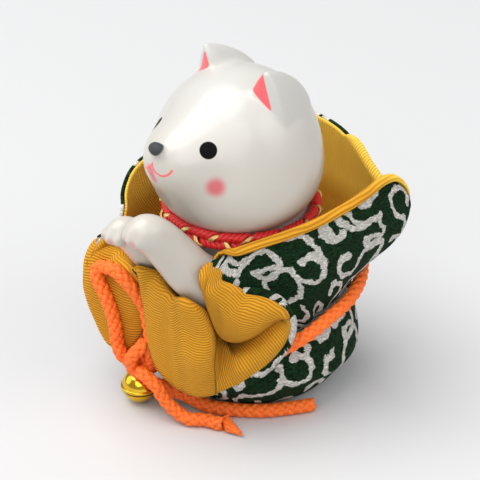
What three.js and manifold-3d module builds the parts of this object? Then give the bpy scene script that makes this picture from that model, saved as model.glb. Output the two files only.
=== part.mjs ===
// A small glazed ceramic dog sitting in a lined drawstring bag of arabesque cloth.
// Millimetres, +Z up. The origin is the middle of the bag's flat underside.
// The dog faces -Y, and its left is +X.
import * as THREE from "three";
import { mergeVertices } from "three/addons/utils/BufferGeometryUtils.js";
import Module from "manifold-3d";

// Driving dimensions
const CLOTH_THICK = 0.8; // printed outer cloth
const LINING_THICK = 0.6; // ribbed crepe lining
const CLOTH_GAP = 0.34; // between the two layers, and between any two pieces that touch
const CORD_R = 1.7; // braided drawstring
const BELL_R = 4.8;
const BELL_WALL = 0.5;
const BASE_R = 17; // flat underside of the bag
const WAIST_R = 24.2; // middle of the cloth where the drawstring pinches it
const WAIST_Z = 24; // mean height of the drawstring
const WAIST_TILT = 5; // it lies this much lower in front and higher behind
const COLLAR_R = 19.3; // middle of the braided collar
const COLLAR_HIGH = 5.4;
const COLLAR_DEEP = 3.4;
const COLLAR_CENTRE = [0, -4, 51.4];

const wasm = await Module();
wasm.setup();

// Small helpers
const TURN = Math.PI * 2;
const radians = (degrees) => (degrees * Math.PI) / 180;
const mix = (a, b, t) => a + (b - a) * t;
const vec = (p) => new THREE.Vector3(...p);
const material = (color, roughness, metalness = 0) =>
  new THREE.MeshStandardMaterial({ color, roughness, metalness });

// A point at an azimuth in degrees, counted from the dog's front towards its left.
const around = (azimuth, radius, z) => [
  radius * Math.sin(radians(azimuth)),
  -radius * Math.cos(radians(azimuth)),
  z,
];

function solid(geometry) {
  const bare = geometry.index ? geometry.toNonIndexed() : geometry.clone();
  for (const name of Object.keys(bare.attributes)) {
    if (name !== "position") bare.deleteAttribute(name);
  }
  const merged = mergeVertices(bare, 1e-4);
  return new wasm.Manifold(
    new wasm.Mesh({
      numProp: 3,
      vertProperties: new Float32Array(merged.attributes.position.array),
      triVerts: new Uint32Array(merged.index.array),
    }),
  );
}

function geometryOf(manifold) {
  const mesh = manifold.getMesh();
  const geometry = new THREE.BufferGeometry();
  geometry.setAttribute("position", new THREE.BufferAttribute(new Float32Array(mesh.vertProperties), 3));
  geometry.setIndex(new THREE.BufferAttribute(new Uint32Array(mesh.triVerts), 1));
  return geometry;
}

const joined = (solids) => solids.reduce((all, one) => all.add(one));

function tube(points, radius, steps, sides, closed = false) {
  const path = new THREE.CatmullRomCurve3(points.map(vec), closed, "centripetal");
  const section = new THREE.Shape(
    Array.from({ length: sides }, (_, i) => {
      const turn = (i / sides) * TURN;
      return new THREE.Vector2(Math.cos(turn) * radius, Math.sin(turn) * radius);
    }),
  );
  return new THREE.ExtrudeGeometry(section, { steps, extrudePath: path, bevelEnabled: false });
}

// The dog

const HEAD = { centre: [0, -5.2, 69], half: [21.2, 21.4, 21.4] };
const JOWLS = { centre: [0, -6.4, 63.8], half: [22.2, 21.0, 15.2] };
const MUZZLE = { centre: [0, -24.4, 72.2], half: [9.6, 9.0, 8.4] };
const NOSE = { centre: [0, -32.4, 77.6], half: [2.3, 1.7, 1.8] };
const NECK = { centre: [0, -4, 50], half: [17.2, 17.2, 14] };
const SOFTNESS = 5; // how widely two lumps of clay run together

const EAR = { tip: [12.2, -5.6, 92.4], root: [12.6, -5.4, 79], wide: 8.2, front: 4.2, back: 9.4, turn: 24 };
const TORSO = [[0, 2.3], [11.6, 2.3], [14.4, 5.4], [17.4, 13], [18.2, 24], [17.4, 38], [16.6, 50], [0, 54]];
const LEG = [
  // centre line of the left foreleg, from the shoulder to the toes, with its half width
  { at: [11.6, -14.6, 34], r: 7.4 },
  { at: [11.2, -21.8, 38.6], r: 6.8 },
  { at: [9.2, -27.6, 45.2], r: 5.8 },
  { at: [7.8, -33, 52], r: 5.2 },
  { at: [6.2, -38.6, 58.4], r: 4.6 },
  { at: [5.8, -42.6, 60.8], r: 4.5 },
  { at: [5.7, -45.4, 59.8], r: 3.8 },
  { at: [5.7, -47.0, 58.6], r: 2.4 },
];
const RIGHT_DROP = 4.2; // the right paw hangs this much lower
const RIGHT_BACK = 1.4;

// Distance to an ellipsoid, close enough near its surface.
function toEllipsoid(p, { centre, half }) {
  const q = p.clone().sub(vec(centre));
  const scaled = q.clone().divide(vec(half));
  const twice = scaled.clone().divide(vec(half));
  return (scaled.length() * (scaled.length() - 1)) / Math.max(twice.length(), 1e-6);
}

// Two distances run together over a soft width.
function blend(a, b, soft) {
  const h = Math.max(soft - Math.abs(a - b), 0) / soft;
  return Math.min(a, b) - (h * h * soft) / 4;
}

function headDistance(p) {
  let d = blend(toEllipsoid(p, HEAD), toEllipsoid(p, JOWLS), SOFTNESS);
  d = blend(d, toEllipsoid(p, MUZZLE), SOFTNESS * 1.4);
  return Math.min(d, toEllipsoid(p, NOSE));
}

// A closed skin round a centre: each direction runs outwards until it leaves the shape.
function skin(distance, centre, detail, reach) {
  const ball = new THREE.IcosahedronGeometry(1, detail);
  const position = ball.attributes.position;
  for (let i = 0; i < position.count; i += 1) {
    const direction = new THREE.Vector3().fromBufferAttribute(position, i).normalize();
    let inside = 0;
    let outside = reach;
    for (let t = reach; t > 0; t -= 0.5) {
      if (distance(direction.clone().multiplyScalar(t).add(centre)) < 0) {
        inside = t;
        break;
      }
      outside = t;
    }
    for (let k = 0; k < 14; k += 1) {
      const middle = (inside + outside) / 2;
      if (distance(direction.clone().multiplyScalar(middle).add(centre)) < 0) inside = middle;
      else outside = middle;
    }
    position.setXYZ(i, ...direction.multiplyScalar(inside).add(centre).toArray());
  }
  return solid(ball);
}

// A row of rings along a line, closed at both ends, each ring facing along the line.
function limb(stations, sides) {
  const line = new THREE.CatmullRomCurve3(stations.map((s) => vec(s.at)), false, "centripetal");
  const rings = [];
  const count = stations.length;
  for (let i = 0; i < count; i += 1) {
    const along = line.getTangent(i / (count - 1));
    const side = new THREE.Vector3(1, 0, 0).cross(along).normalize();
    const across = along.clone().cross(side);
    rings.push(
      Array.from({ length: sides }, (_, k) => {
        const turn = (k / sides) * TURN;
        return vec(stations[i].at)
          .add(side.clone().multiplyScalar(Math.cos(turn) * stations[i].r))
          .add(across.clone().multiplyScalar(Math.sin(turn) * stations[i].r));
      }),
    );
  }
  return closedRings(rings);
}

// Skins a list of rings with equal counts, and closes the first and last with flat fans.
function closedRings(rings) {
  const position = [];
  const corner = (p) => position.push(p.x, p.y, p.z);
  const triangle = (a, b, c) => {
    corner(a);
    corner(b);
    corner(c);
  };
  const sides = rings[0].length;
  for (let i = 0; i + 1 < rings.length; i += 1) {
    for (let k = 0; k < sides; k += 1) {
      const next = (k + 1) % sides;
      triangle(rings[i][k], rings[i][next], rings[i + 1][next]);
      triangle(rings[i][k], rings[i + 1][next], rings[i + 1][k]);
    }
  }
  const first = rings[0];
  const last = rings[rings.length - 1];
  for (let k = 1; k + 1 < sides; k += 1) {
    triangle(first[0], first[k + 1], first[k]);
    triangle(last[0], last[k], last[k + 1]);
  }
  const geometry = new THREE.BufferGeometry();
  geometry.setAttribute("position", new THREE.Float32BufferAttribute(position, 3));
  const made = solid(geometry);
  if (made.volume() > 0) return made;
  const flipped = [];
  for (let i = 0; i < position.length; i += 9) {
    flipped.push(...position.slice(i, i + 3));
    flipped.push(...position.slice(i + 6, i + 9));
    flipped.push(...position.slice(i + 3, i + 6));
  }
  geometry.setAttribute("position", new THREE.Float32BufferAttribute(flipped, 3));
  return solid(geometry);
}

// One ear: a rounded wedge, nearly flat in front, with a long slope behind, and turned a little outwards.
function ear(side) {
  const rings = [];
  const steps = 5;
  const sides = 10;
  const facing = radians(EAR.turn) * side;
  for (let i = 0; i <= steps; i += 1) {
    const t = i / steps;
    const fullness = Math.cos((t * Math.PI) / 2) ** 0.8;
    const wide = Math.max(EAR.wide * fullness, 0.8);
    rings.push(
      Array.from({ length: sides }, (_, k) => {
        const turn = (k / sides) * TURN;
        const across = Math.cos(turn) * wide;
        const thick = Math.sin(turn) > 0 ? mix(EAR.back, 1, t ** 0.7) : EAR.front * fullness;
        const deep = Math.sin(turn) * Math.max(thick, 0.7);
        return new THREE.Vector3(
          side * mix(EAR.root[0], EAR.tip[0], t) + across * Math.cos(facing) - deep * Math.sin(facing),
          mix(EAR.root[1], EAR.tip[1], t) + across * Math.sin(facing) + deep * Math.cos(facing),
          mix(EAR.root[2], EAR.tip[2], t) - side * across * 0.18,
        );
      }),
    );
  }
  return closedRings(rings);
}

function legStations(side) {
  return LEG.map(({ at: [x, y, z], r }, i) => {
    const share = side < 0 ? Math.min(i / 4, 1) : 0;
    return { at: [side * x, y + RIGHT_BACK * share, z - RIGHT_DROP * share], r };
  });
}

const foreleg = (side) => limb(legStations(side), 10);

function torso() {
  const profile = TORSO.map(([r, z]) => new THREE.Vector2(r, z));
  const lathe = new THREE.LatheGeometry(profile, 24);
  lathe.rotateX(Math.PI / 2);
  lathe.translate(0, -0.8, 0);
  return solid(lathe);
}

function collarRing(grow) {
  const rings = 28;
  const sides = 8;
  const profile = new THREE.Shape(
    Array.from({ length: sides }, (_, i) => {
      const turn = (i / sides) * TURN;
      return new THREE.Vector2(
        Math.cos(turn) * (COLLAR_DEEP / 2 + grow),
        Math.sin(turn) * (COLLAR_HIGH / 2 + grow),
      );
    }),
  );
  const points = profile.getPoints().map((p) => new THREE.Vector2(COLLAR_R + p.x, p.y));
  points.push(points[0].clone());
  const ring = new THREE.LatheGeometry(points, rings);
  ring.rotateX(Math.PI / 2);
  ring.translate(...COLLAR_CENTRE);
  return solid(ring);
}

function dog() {
  const head = skin(headDistance, vec(HEAD.centre), 6, 45);
  const neck = skin((p) => toEllipsoid(p, NECK), vec(NECK.centre), 2, 30);
  const whole = joined([head, neck, torso(), ear(1), ear(-1), foreleg(1), foreleg(-1)]);
  return geometryOf(whole.subtract(collarRing(CLOTH_GAP)));
}

// The bag

// Stations of the mouth, counted round from the middle of the front towards the dog's left: azimuth at
// the drawstring, hem x, y and z, height of the roll the cloth hangs over (0 for an upright rim), and how
// far the cloth is pushed out above the drawstring and at the hem. A last number gives the azimuth of the
// push at the hem.
const MOUTH = [
  [-2, -1.6, -36.9, 45, 47, 5, 2],
  [1, -1.4, -36.4, 37, 46.5, 5, 4],
  [4, -1.3, -35.4, 28.5, 46, 5, 6],
  [7, -0.9, -35.0, 20, 44.5, 5, 8],
  [10.5, 1.4, -34.8, 14.8, 42.5, 5, 8],
  [14, 5.6, -33.0, 11.2, 41, 5, 8],
  [18, 10.6, -30.8, 10, 39.5, 5, 8],
  [22, 14.6, -28.0, 10.8, 34.5, 5, 8],
  [26, 18.2, -25.4, 13, 30, 4, 8],
  [31, 21.0, -22.8, 15.6, 27, 3, 7],
  [36, 24.4, -19.4, 20.2, 28, 3, 6],
  [41, 26.8, -16.8, 24, 29.5, 3, 5],
  [46, 28.4, -14.6, 28.4, 32.5, 3, 3],
  [51, 28.8, -13.8, 33, 0, 4, 3],
  [56, 27.2, -15.6, 36.8, 0, 5, 2.5],
  [61, 24.6, -19.2, 39.2, 0, 6, 2],
  [65, 21.8, -23.2, 40.8, 0, 5, 2],
  [68.5, 18.6, -25.8, 42.2, 0, 4, 2.5, 0],
  [71.5, 15.6, -26.8, 44, 0, 4, 3.5, -35],
  [74.5, 13.8, -25.8, 46, 0, 4, 4, -45],
  [77.5, 14.0, -23.8, 48.4, 0, 4, 3, -45],
  [80.5, 16.2, -20.4, 50.4, 0, 6, 1.5, -20],
  [84, 19.4, -15.4, 52.2, 0, 6, 1.5],
  [88, 23.4, -9.2, 54.2, 0, 7, 1.5],
  [93, 26.2, -3.2, 56, 0, 7, 1.5],
  [98, 28.0, 2.4, 57.8, 0, 8, 1.5],
  [104, 28.8, 7.8, 59.2, 0, 9, 1.5],
  [110, 29.0, 12.6, 60.2, 0, 10, 1.5],
  [115, 29.4, 17.2, 61.2, 0, 11, 1.5],
  [121, 30.0, 20.8, 61.8, 0, 13, 1.5],
  [126, 31.6, 22.8, 60.0, 0, 14, 1.5],
  [131, 31.4, 25.2, 55.4, 0, 14, 2],
  [136, 28.4, 27.6, 52.6, 0, 12, 2],
  [142, 23.6, 28.4, 53.6, 0, 9, 2],
  [149, 18.4, 28.4, 58, 0, 8, 2],
  [157, 13.0, 28.0, 62, 0, 7, 2],
  [166, 7.2, 28.0, 63.6, 0, 7, 1.5],
  [175, 0.8, 28.4, 64.2, 0, 7, 1.5],
  [184, -5.8, 28.8, 64.2, 0, 7, 1.5],
  [193, -12.2, 28.6, 63.8, 0, 7, 1.5],
  [202, -18.4, 25.8, 62.8, 0, 8, 1.5],
  [211, -23.8, 21.6, 61.4, 0, 8, 2],
  [220, -27.4, 16.0, 60.6, 0, 8, 2],
  [229, -29.2, 9.8, 60.2, 0, 8, 1.5],
  [238, -30.0, 3.4, 59.8, 0, 8, 1.5],
  [247, -30.0, -2.8, 59.4, 0, 7, 1.5],
  [256, -29.2, -8.8, 58.8, 0, 7, 1.5],
  [265, -28.0, -14.4, 57.8, 0, 7, 1.5],
  [273, -26.8, -18.8, 55.8, 0, 7, 1.5],
  [281, -25.8, -22.2, 52, 0, 7, 1.5],
  [288, -24.6, -25.8, 48.4, 0, 7, 1.5],
  [295, -23.4, -29.6, 46.6, 0, 7, 2],
  [302, -21.8, -34.2, 44.8, 47, 7, 2],
  [308, -20.2, -37.8, 40.6, 48, 7, 4],
  [314, -18.8, -39.2, 34.6, 48, 6, 6],
  [320, -17.4, -38.8, 27, 48, 6, 7],
  [326, -15.8, -37.6, 20.4, 48, 6, 7],
  [332, -13.2, -36.4, 16.4, 48, 5, 7],
  [337, -11.0, -35.2, 15.8, 48, 5, 7],
  [342, -9.0, -34.6, 19, 48, 5, 6],
  [346, -7.4, -35.2, 26, 48.5, 5, 5],
  [350, -6.0, -36.2, 34, 49, 5, 4],
  [353, -4.4, -36.6, 42, 49, 5, 3],
  [356, -2.8, -36.6, 46.5, 49, 5, 1],
];
const RUFFLE_ROWS = 5;
const SACK = [[BASE_R, 0], [20.8, 1.4], [25.0, 5.8], [28.8, 13.6]]; // radius and height of the sack's skin
const LINING_SACK = [[BASE_R - 1.5, 0], [28, 13.6]];

const waistHeight = (azimuth) => WAIST_Z - WAIST_TILT * Math.cos(radians(azimuth));

// One column of the cloth's middle surface above the drawstring, as the four handles of a Bezier curve.
function ruffleHandles([azimuth, x, y, z, crest, pushWaist, pushHem, toward]) {
  const waist = vec(around(azimuth, WAIST_R, waistHeight(azimuth)));
  const hem = new THREE.Vector3(x, y, z);
  const outwards = toward === undefined ? new THREE.Vector3(x, y, 0).normalize() : vec(around(toward, 1, 0));
  const first = waist.clone().addScaledVector(vec(around(azimuth, 1, 0)), pushWaist);
  const second = hem.clone().addScaledVector(outwards, pushHem);
  if (crest) {
    const handle = (crest - (waist.z + hem.z) / 8) / 0.75;
    first.z = handle;
    second.z = handle;
  } else {
    first.z += (hem.z - waist.z) * 0.3;
    second.z -= (hem.z - waist.z) * 0.35;
  }
  return [waist, first, second, hem];
}

const HANDLES = MOUTH.map(ruffleHandles);
const SMOOTH_TURNS = 3;
const LEAST_STRETCH = 0.3; // how far an edge may shrink in a fold before the layer grows thinner there
const LEAST_OFFSET = 0.45;
const CLEAR = 1.8; // from the clay of a foreleg to the middle of the cloth that lies against it

// Moves a point of the cloth off both forelegs: out and down where the cloth hangs over, and sideways
// where it stands up.
function clearOfLegs(point, column) {
  const [azimuth, , , , crest] = MOUTH[column];
  const slide = new THREE.Vector3(point.x, point.y, 0).normalize().setZ(-1).normalize();
  if (!crest) slide.set(azimuth < 180 ? 1 : -1, 0, 0);
  for (const side of [1, -1]) {
    const stations = legStations(side);
    for (let i = 0; i + 1 < stations.length; i += 1) {
      const from = vec(stations[i].at);
      const along = vec(stations[i + 1].at).sub(from);
      const t = THREE.MathUtils.clamp(point.clone().sub(from).dot(along) / along.lengthSq(), 0, 1);
      const reach = mix(stations[i].r, stations[i + 1].r, t) + CLEAR;
      const away = point.clone().sub(from.addScaledVector(along, t));
      if (away.length() < reach) {
        const forward = away.dot(slide);
        const step = -forward + Math.sqrt(forward * forward + reach * reach - away.lengthSq());
        point.addScaledVector(slide, step);
      }
    }
  }
  return point;
}

function ruffleRow(t) {
  const s = 1 - t;
  return HANDLES.map(([waist, first, second, hem], column) => {
    const point = waist.clone().multiplyScalar(s * s * s);
    point.addScaledVector(first, 3 * s * s * t);
    point.addScaledVector(second, 3 * s * t * t);
    return clearOfLegs(point.addScaledVector(hem, t * t * t), column);
  });
}

// Rows of the cloth's middle surface, from the rim of the flat underside up to the hem.
function clothRows(sack) {
  const lift = CLOTH_THICK + CLOTH_GAP / 2;
  const waist = ruffleRow(0);
  const rows = sack.map(([radius, height]) =>
    waist.map((w) => {
      const along = new THREE.Vector3(w.x, w.y, 0).normalize();
      return along.multiplyScalar(radius - lift).setZ(height + lift);
    }),
  );
  const ruffle = Array.from({ length: RUFFLE_ROWS + 1 }, (_, i) => ruffleRow(i / RUFFLE_ROWS));
  return [...rows, ...smoothed(ruffle)];
}

// Evens out the ruffle after it was moved off the forelegs. The waist stays, and the hem moves only
// along itself.
function smoothed(rows) {
  const n = rows[0].length;
  const last = rows.length - 1;
  for (let turn = 0; turn < SMOOTH_TURNS; turn += 1) {
    const before = rows.map((row) => row.map((p) => p.clone()));
    for (let i = 1; i <= last; i += 1) {
      for (let k = 0; k < n; k += 1) {
        const beside = before[i][(k + 1) % n].clone().add(before[i][(k + n - 1) % n]).multiplyScalar(0.5);
        const along = i < last ? before[i + 1][k].clone().add(before[i - 1][k]).multiplyScalar(0.5) : null;
        const share = i < last ? 0.5 : 0.15;
        rows[i][k].lerp(along ? beside.add(along).multiplyScalar(0.5) : beside, share);
        clearOfLegs(rows[i][k], k);
      }
    }
  }
  return rows;
}

// Unit normals of a grid of rows that close round, pointing out of the sack.
function gridNormals(rows) {
  return rows.map((row, i) =>
    row.map((_, k) => {
      const n = row.length;
      const across = row[(k + 1) % n].clone().sub(row[(k + n - 1) % n]);
      const above = rows[Math.min(i + 1, rows.length - 1)][k];
      const below = rows[Math.max(i - 1, 0)][k];
      return across.cross(above.clone().sub(below)).normalize();
    }),
  );
}

// The rows moved along their normals, by less wherever a fold is too tight for the whole distance.
function offsetRows(rows, by) {
  const normals = gridNormals(rows);
  const n = rows[0].length;
  const share = rows.map((row) => row.map(() => 1));
  const least = Math.min(1, LEAST_OFFSET / Math.abs(by));
  const at = (i, k) => rows[i][k].clone().addScaledVector(normals[i][k], by * share[i][k]);
  const pairs = [];
  for (let i = 0; i < rows.length; i += 1) {
    for (let k = 0; k < n; k += 1) {
      pairs.push([i, k, i, (k + 1) % n]);
      if (i + 1 < rows.length) pairs.push([i, k, i + 1, k], [i, k, i + 1, (k + 1) % n]);
    }
  }
  for (let turn = 0; turn < 14; turn += 1) {
    for (const [i, k, j, m] of pairs) {
      const plain = rows[j][m].clone().sub(rows[i][k]);
      if (at(j, m).sub(at(i, k)).dot(plain) < LEAST_STRETCH * plain.lengthSq()) {
        share[i][k] = Math.max(share[i][k] * 0.85, least);
        share[j][m] = Math.max(share[j][m] * 0.85, least);
      }
    }
  }
  const made = rows.map((row, i) => row.map((_, k) => at(i, k)));
  made[0].forEach((p, k) => p.copy(rows[0][k]).setZ(rows[0][k].z - by));
  return made;
}

// A layer of cloth between two offsets from the middle surface, as one closed solid with a flat bottom.
// Both faces and both layers split each patch along the same diagonal, so that they stay a constant
// distance apart.
function layer(rows, near, far) {
  const outside = offsetRows(rows, far);
  const inside = offsetRows(rows, near);
  const n = rows[0].length;
  const position = [];
  const triangle = (...corners) => corners.forEach((p) => position.push(p.x, p.y, p.z));
  const patch = (a, b, c, d, first) => {
    // corners in order round the patch, split from a to c, or else from b to d
    if (first) {
      triangle(a, b, c);
      triangle(a, c, d);
    } else {
      triangle(a, b, d);
      triangle(b, c, d);
    }
  };
  for (let i = 0; i + 1 < rows.length; i += 1) {
    for (let k = 0; k < n; k += 1) {
      const m = (k + 1) % n;
      const first = rows[i][k].distanceTo(rows[i + 1][m]) <= rows[i][m].distanceTo(rows[i + 1][k]);
      patch(outside[i][k], outside[i][m], outside[i + 1][m], outside[i + 1][k], first);
      patch(inside[i][k], inside[i + 1][k], inside[i + 1][m], inside[i][m], first);
    }
  }
  const last = rows.length - 1;
  for (let k = 0; k < n; k += 1) {
    const m = (k + 1) % n;
    patch(outside[last][k], outside[last][m], inside[last][m], inside[last][k], true);
  }
  for (let k = 1; k + 1 < n; k += 1) {
    triangle(outside[0][0], outside[0][k + 1], outside[0][k]);
    triangle(inside[0][0], inside[0][k], inside[0][k + 1]);
  }
  const geometry = new THREE.BufferGeometry();
  geometry.setAttribute("position", new THREE.Float32BufferAttribute(position, 3));
  return geometry;
}

const largest = (made) => made.decompose().sort((a, b) => b.volume() - a.volume())[0];

// The outer cloth gives way to the lining in the tightest folds, where the two would run into each other.
function bagCloth() {
  const half = CLOTH_GAP / 2;
  const cloth = solid(layer(clothRows(SACK), half, half + CLOTH_THICK));
  const room = solid(layer(clothRows(LINING_SACK), -half - LINING_THICK, half - 0.05));
  return geometryOf(largest(cloth.subtract(room)));
}

function bagLining() {
  return layer(clothRows(LINING_SACK), -CLOTH_GAP / 2 - LINING_THICK, -CLOTH_GAP / 2);
}

// The drawstring

const CORD_OUT = WAIST_R + CLOTH_THICK + CLOTH_GAP + CORD_R + 1.8;
const CORD_GAP = 0.34;
const KNOT = { centre: [-5.2, -33.0, 13.4], half: [3.7, 3.2, 4.2] };
const BOW_LOOP = [
  [-2.0, -38.4, 25],
  [-1.8, -41.0, 34],
  [-3.2, -43.6, 42],
  [-6.4, -46.2, 46.4],
  [-9.4, -47.8, 44],
  [-9.8, -47.4, 36.5],
  [-10.0, -44.8, 27.7],
  [-10.4, -41.2, 20.4],
];
const LONG_TAIL = [
  [-2.6, -38.4, 7.4],
  [-0.8, -36.2, 3.8],
  [2.6, -33.4, 2.0],
  [9.6, -31.5, 1.9],
  [15.5, -29.5, 1.9],
  [20.4, -27.0, 1.9],
  [24.4, -25.6, 1.9],
];
const SHORT_TAIL = [
  [-0.6, -31.2, 7.4],
  [1.8, -28.8, 5.8],
  [4.4, -26.6, 4.4],
  [8.4, -24.4, 2.7],
  [12.9, -20.6, 1.9],
  [19.6, -14.4, 1.9],
  [23.6, -8.2, 1.9],
  [26.6, -2.4, 1.9],
];

// Two points straight out of the knot: the first just clear of it, the second where the cord starts to bend.
function outOfKnot(x, y, z) {
  const way = new THREE.Vector3(x, y, z).normalize();
  const skinAt = 1 / way.clone().divide(vec(KNOT.half)).length();
  return [CORD_GAP, CORD_GAP + 1.2].map((more) =>
    way.clone().multiplyScalar(skinAt + more).add(vec(KNOT.centre)).toArray(),
  );
}

function drawstringBand() {
  const points = [];
  for (let azimuth = 60; azimuth <= 315; azimuth += 15) {
    points.push(around(azimuth, CORD_OUT, waistHeight(azimuth)));
  }
  points.push(around(332, 29.6, 17), around(343, 31, 14.8), around(351, 32, 13.6));
  points.push(around(0, 31.6, 14.6), around(11, 31, 16.2), around(22, 29.8, 18));
  points.push(around(33, 28.4, 19.4), around(46, 28, 20.6));
  const knot = skin((p) => toEllipsoid(p, KNOT), vec(KNOT.centre), 2, 10);
  return geometryOf(solid(tube(points, CORD_R, 48, 8, true)).add(knot));
}

const bowLoop = () =>
  tube(
    [...outOfKnot(0.35, -0.5, 0.85), ...BOW_LOOP, ...outOfKnot(-0.55, -0.75, 0.4).reverse()],
    CORD_R,
    26,
    8,
  );
const longTail = () => tube([...outOfKnot(0.35, -0.85, -0.3), ...LONG_TAIL], CORD_R, 16, 8);
const shortTail = () => tube([...outOfKnot(0.6, -0.15, -0.8), ...SHORT_TAIL], CORD_R, 16, 8);

// The bell: a thin round shell with a raised seam and a slot underneath.

const BELL = { centre: [-10.2, -33.4, BELL_R + 0.12], slot: 1, slotLong: 6.4, seam: 0.35 };

function ball(radius, wide, high) {
  const made = new THREE.SphereGeometry(radius, wide, high);
  made.rotateX(Math.PI / 2);
  return made;
}

function bell() {
  const seam = new THREE.LatheGeometry(
    [
      new THREE.Vector2(BELL_R - 0.3, -0.4),
      new THREE.Vector2(BELL_R + BELL.seam, -0.3),
      new THREE.Vector2(BELL_R + BELL.seam, 0.3),
      new THREE.Vector2(BELL_R - 0.3, 0.4),
      new THREE.Vector2(BELL_R - 0.3, -0.4),
    ],
    16,
  );
  seam.rotateX(Math.PI / 2);
  const slot = new THREE.BoxGeometry(BELL.slotLong, BELL.slot, BELL_R * 1.4);
  slot.translate(0, 0, -BELL_R);
  const shell = solid(ball(BELL_R, 16, 8)).add(solid(seam)).subtract(solid(ball(BELL_R - BELL_WALL, 10, 6)));
  return geometryOf(shell.subtract(solid(slot))).translate(...BELL.centre);
}

// Assembly

const object = new THREE.Group();
function add(name, geometry, finish) {
  const mesh = new THREE.Mesh(geometry, finish);
  mesh.name = name;
  object.add(mesh);
}

add("dog", dog(), material(0xf1eeea, 0.12));
add("collar", geometryOf(collarRing(0)), material(0xc8202c, 0.55));
add("bag_cloth", bagCloth(), material(0x14391f, 0.9));
add("bag_lining", bagLining(), material(0xd69a25, 0.85));
add("drawstring", drawstringBand(), material(0xf2571c, 0.6));
add("bow_loop", bowLoop(), material(0xf2571c, 0.6));
add("long_tail", longTail(), material(0xf2571c, 0.6));
add("short_tail", shortTail(), material(0xf2571c, 0.6));
add("bell", bell(), material(0xcfa33a, 0.2, 1));

export default object;
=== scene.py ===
# %% [markdown]
# # A ceramic dog in a drawstring bag
# The object is a small glazed dog that sits in a lined bag of printed cloth. The bag is tied with a braided
# cord, and a little bell hangs at the knot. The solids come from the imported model. They are the frame for
# everything here: each piece is built within a few millimetres of the place that its solid already has.

# %% Load the frame
import math

import bmesh
import bpy
import numpy as np
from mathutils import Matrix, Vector


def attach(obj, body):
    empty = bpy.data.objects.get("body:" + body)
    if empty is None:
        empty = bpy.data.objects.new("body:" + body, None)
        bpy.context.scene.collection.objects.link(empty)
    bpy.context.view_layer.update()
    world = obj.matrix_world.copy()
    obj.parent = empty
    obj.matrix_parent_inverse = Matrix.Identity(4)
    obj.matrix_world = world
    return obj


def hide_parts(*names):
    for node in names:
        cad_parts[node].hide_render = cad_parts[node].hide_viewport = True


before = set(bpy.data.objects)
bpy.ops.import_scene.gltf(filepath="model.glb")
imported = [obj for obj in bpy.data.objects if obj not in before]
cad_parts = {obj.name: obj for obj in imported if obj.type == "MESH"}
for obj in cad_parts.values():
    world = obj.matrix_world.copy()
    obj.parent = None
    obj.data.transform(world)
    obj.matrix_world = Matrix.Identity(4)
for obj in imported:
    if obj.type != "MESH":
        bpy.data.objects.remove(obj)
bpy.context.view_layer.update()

MM = 0.001
print("nodes:", sorted(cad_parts))

# %% [markdown]
# ## The camera
# The figure was looked at from its left front and from above, through a long lens. The camera comes first,
# because what it sees decides where detail is worth making.

# %% Camera


def into_scene(name, data):
    made = bpy.data.objects.new(name, data)
    bpy.context.scene.collection.objects.link(made)
    return made


camera_data = bpy.data.cameras.new("camera")
camera_data.lens = 172.05
camera_data.sensor_width = 36
camera_data.clip_start = 0.01
camera = into_scene("camera", camera_data)
camera.location = Vector((378.03, -356.95, 339.49)) * MM
looking = Vector((-14.66, 9.24, 29.49)) * MM - camera.location
camera.rotation_euler = looking.to_track_quat("-Z", "Y").to_euler()
bpy.context.scene.camera = camera
print("camera", [round(c, 3) for c in camera.location])

# %% [markdown]
# ## Small helpers for shaders
# A material is a graph of nodes. A wire stands for one output of a node, and a sum written with wires adds
# the nodes that do it, so a pattern reads as the plain formula that it is. Every material starts from the
# same plain shader.

# %% Shader helpers


class Wire:
    # one output of a node: a sum that is written with it adds the nodes that do the sum
    def __init__(self, tree, plug):
        self.tree, self.plug = tree, plug

    def math(self, operation, *more, **settings):
        return node(self.tree, "Math", self, *more, operation=operation, **settings)

    def vector(self, operation, *more, out=0):
        return node(self.tree, "VectorMath", self, *more, out=out, operation=operation)

    def __add__(self, other):
        return self.math("ADD", other)

    def __sub__(self, other):
        return self.math("SUBTRACT", other)

    def __rsub__(self, other):
        return node(self.tree, "Math", other, self, operation="SUBTRACT")

    def __mul__(self, other):
        return self.math("MULTIPLY", other)

    def to(self, socket):
        self.tree.links.new(self.plug, socket)


def plug_in(pairs):
    for plug, socket in pairs:
        if isinstance(plug, Wire):
            plug.to(socket)
        else:
            socket.default_value = plug


def node(tree, kind, *plugs, out=0, named=None, **settings):
    made = tree.nodes.new("ShaderNode" + kind)
    for key, value in settings.items():
        setattr(made, key, value)
    plug_in(zip(plugs, made.inputs))
    plug_in((plug, made.inputs[name]) for name, plug in (named or {}).items())
    if out is None:
        return Wire(tree, next(plug for plug in made.outputs if plug.enabled))
    return Wire(tree, made.outputs[out])


def split(vector):
    made = vector.tree.nodes.new("ShaderNodeSeparateXYZ")
    vector.to(made.inputs[0])
    return [Wire(vector.tree, plug) for plug in made.outputs]


def step(value, start, end):
    # 0 below the start, 1 above the end, and a soft rise between them
    return node(value.tree, "MapRange", value, start, end, 0.0, 1.0, interpolation_type="SMOOTHSTEP")


def mix(share, a, b):
    return node(share.tree, "Mix", out=None, named={"Factor": share, "A": a, "B": b}, data_type="RGBA")


def noise(where, scale, detail=2.0, distortion=0.0, out=0):
    named = {"Scale": scale, "Detail": detail, "Distortion": distortion}
    return node(where.tree, "TexNoise", where, out=out, named=named)


def root_sum(x, y):
    return (x * x + y * y).math("SQRT")


def bump(shader, height, strength, distance):
    named = {"Strength": strength, "Distance": distance, "Height": height}
    node(height.tree, "Bump", named=named).to(shader.inputs["Normal"])


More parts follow.
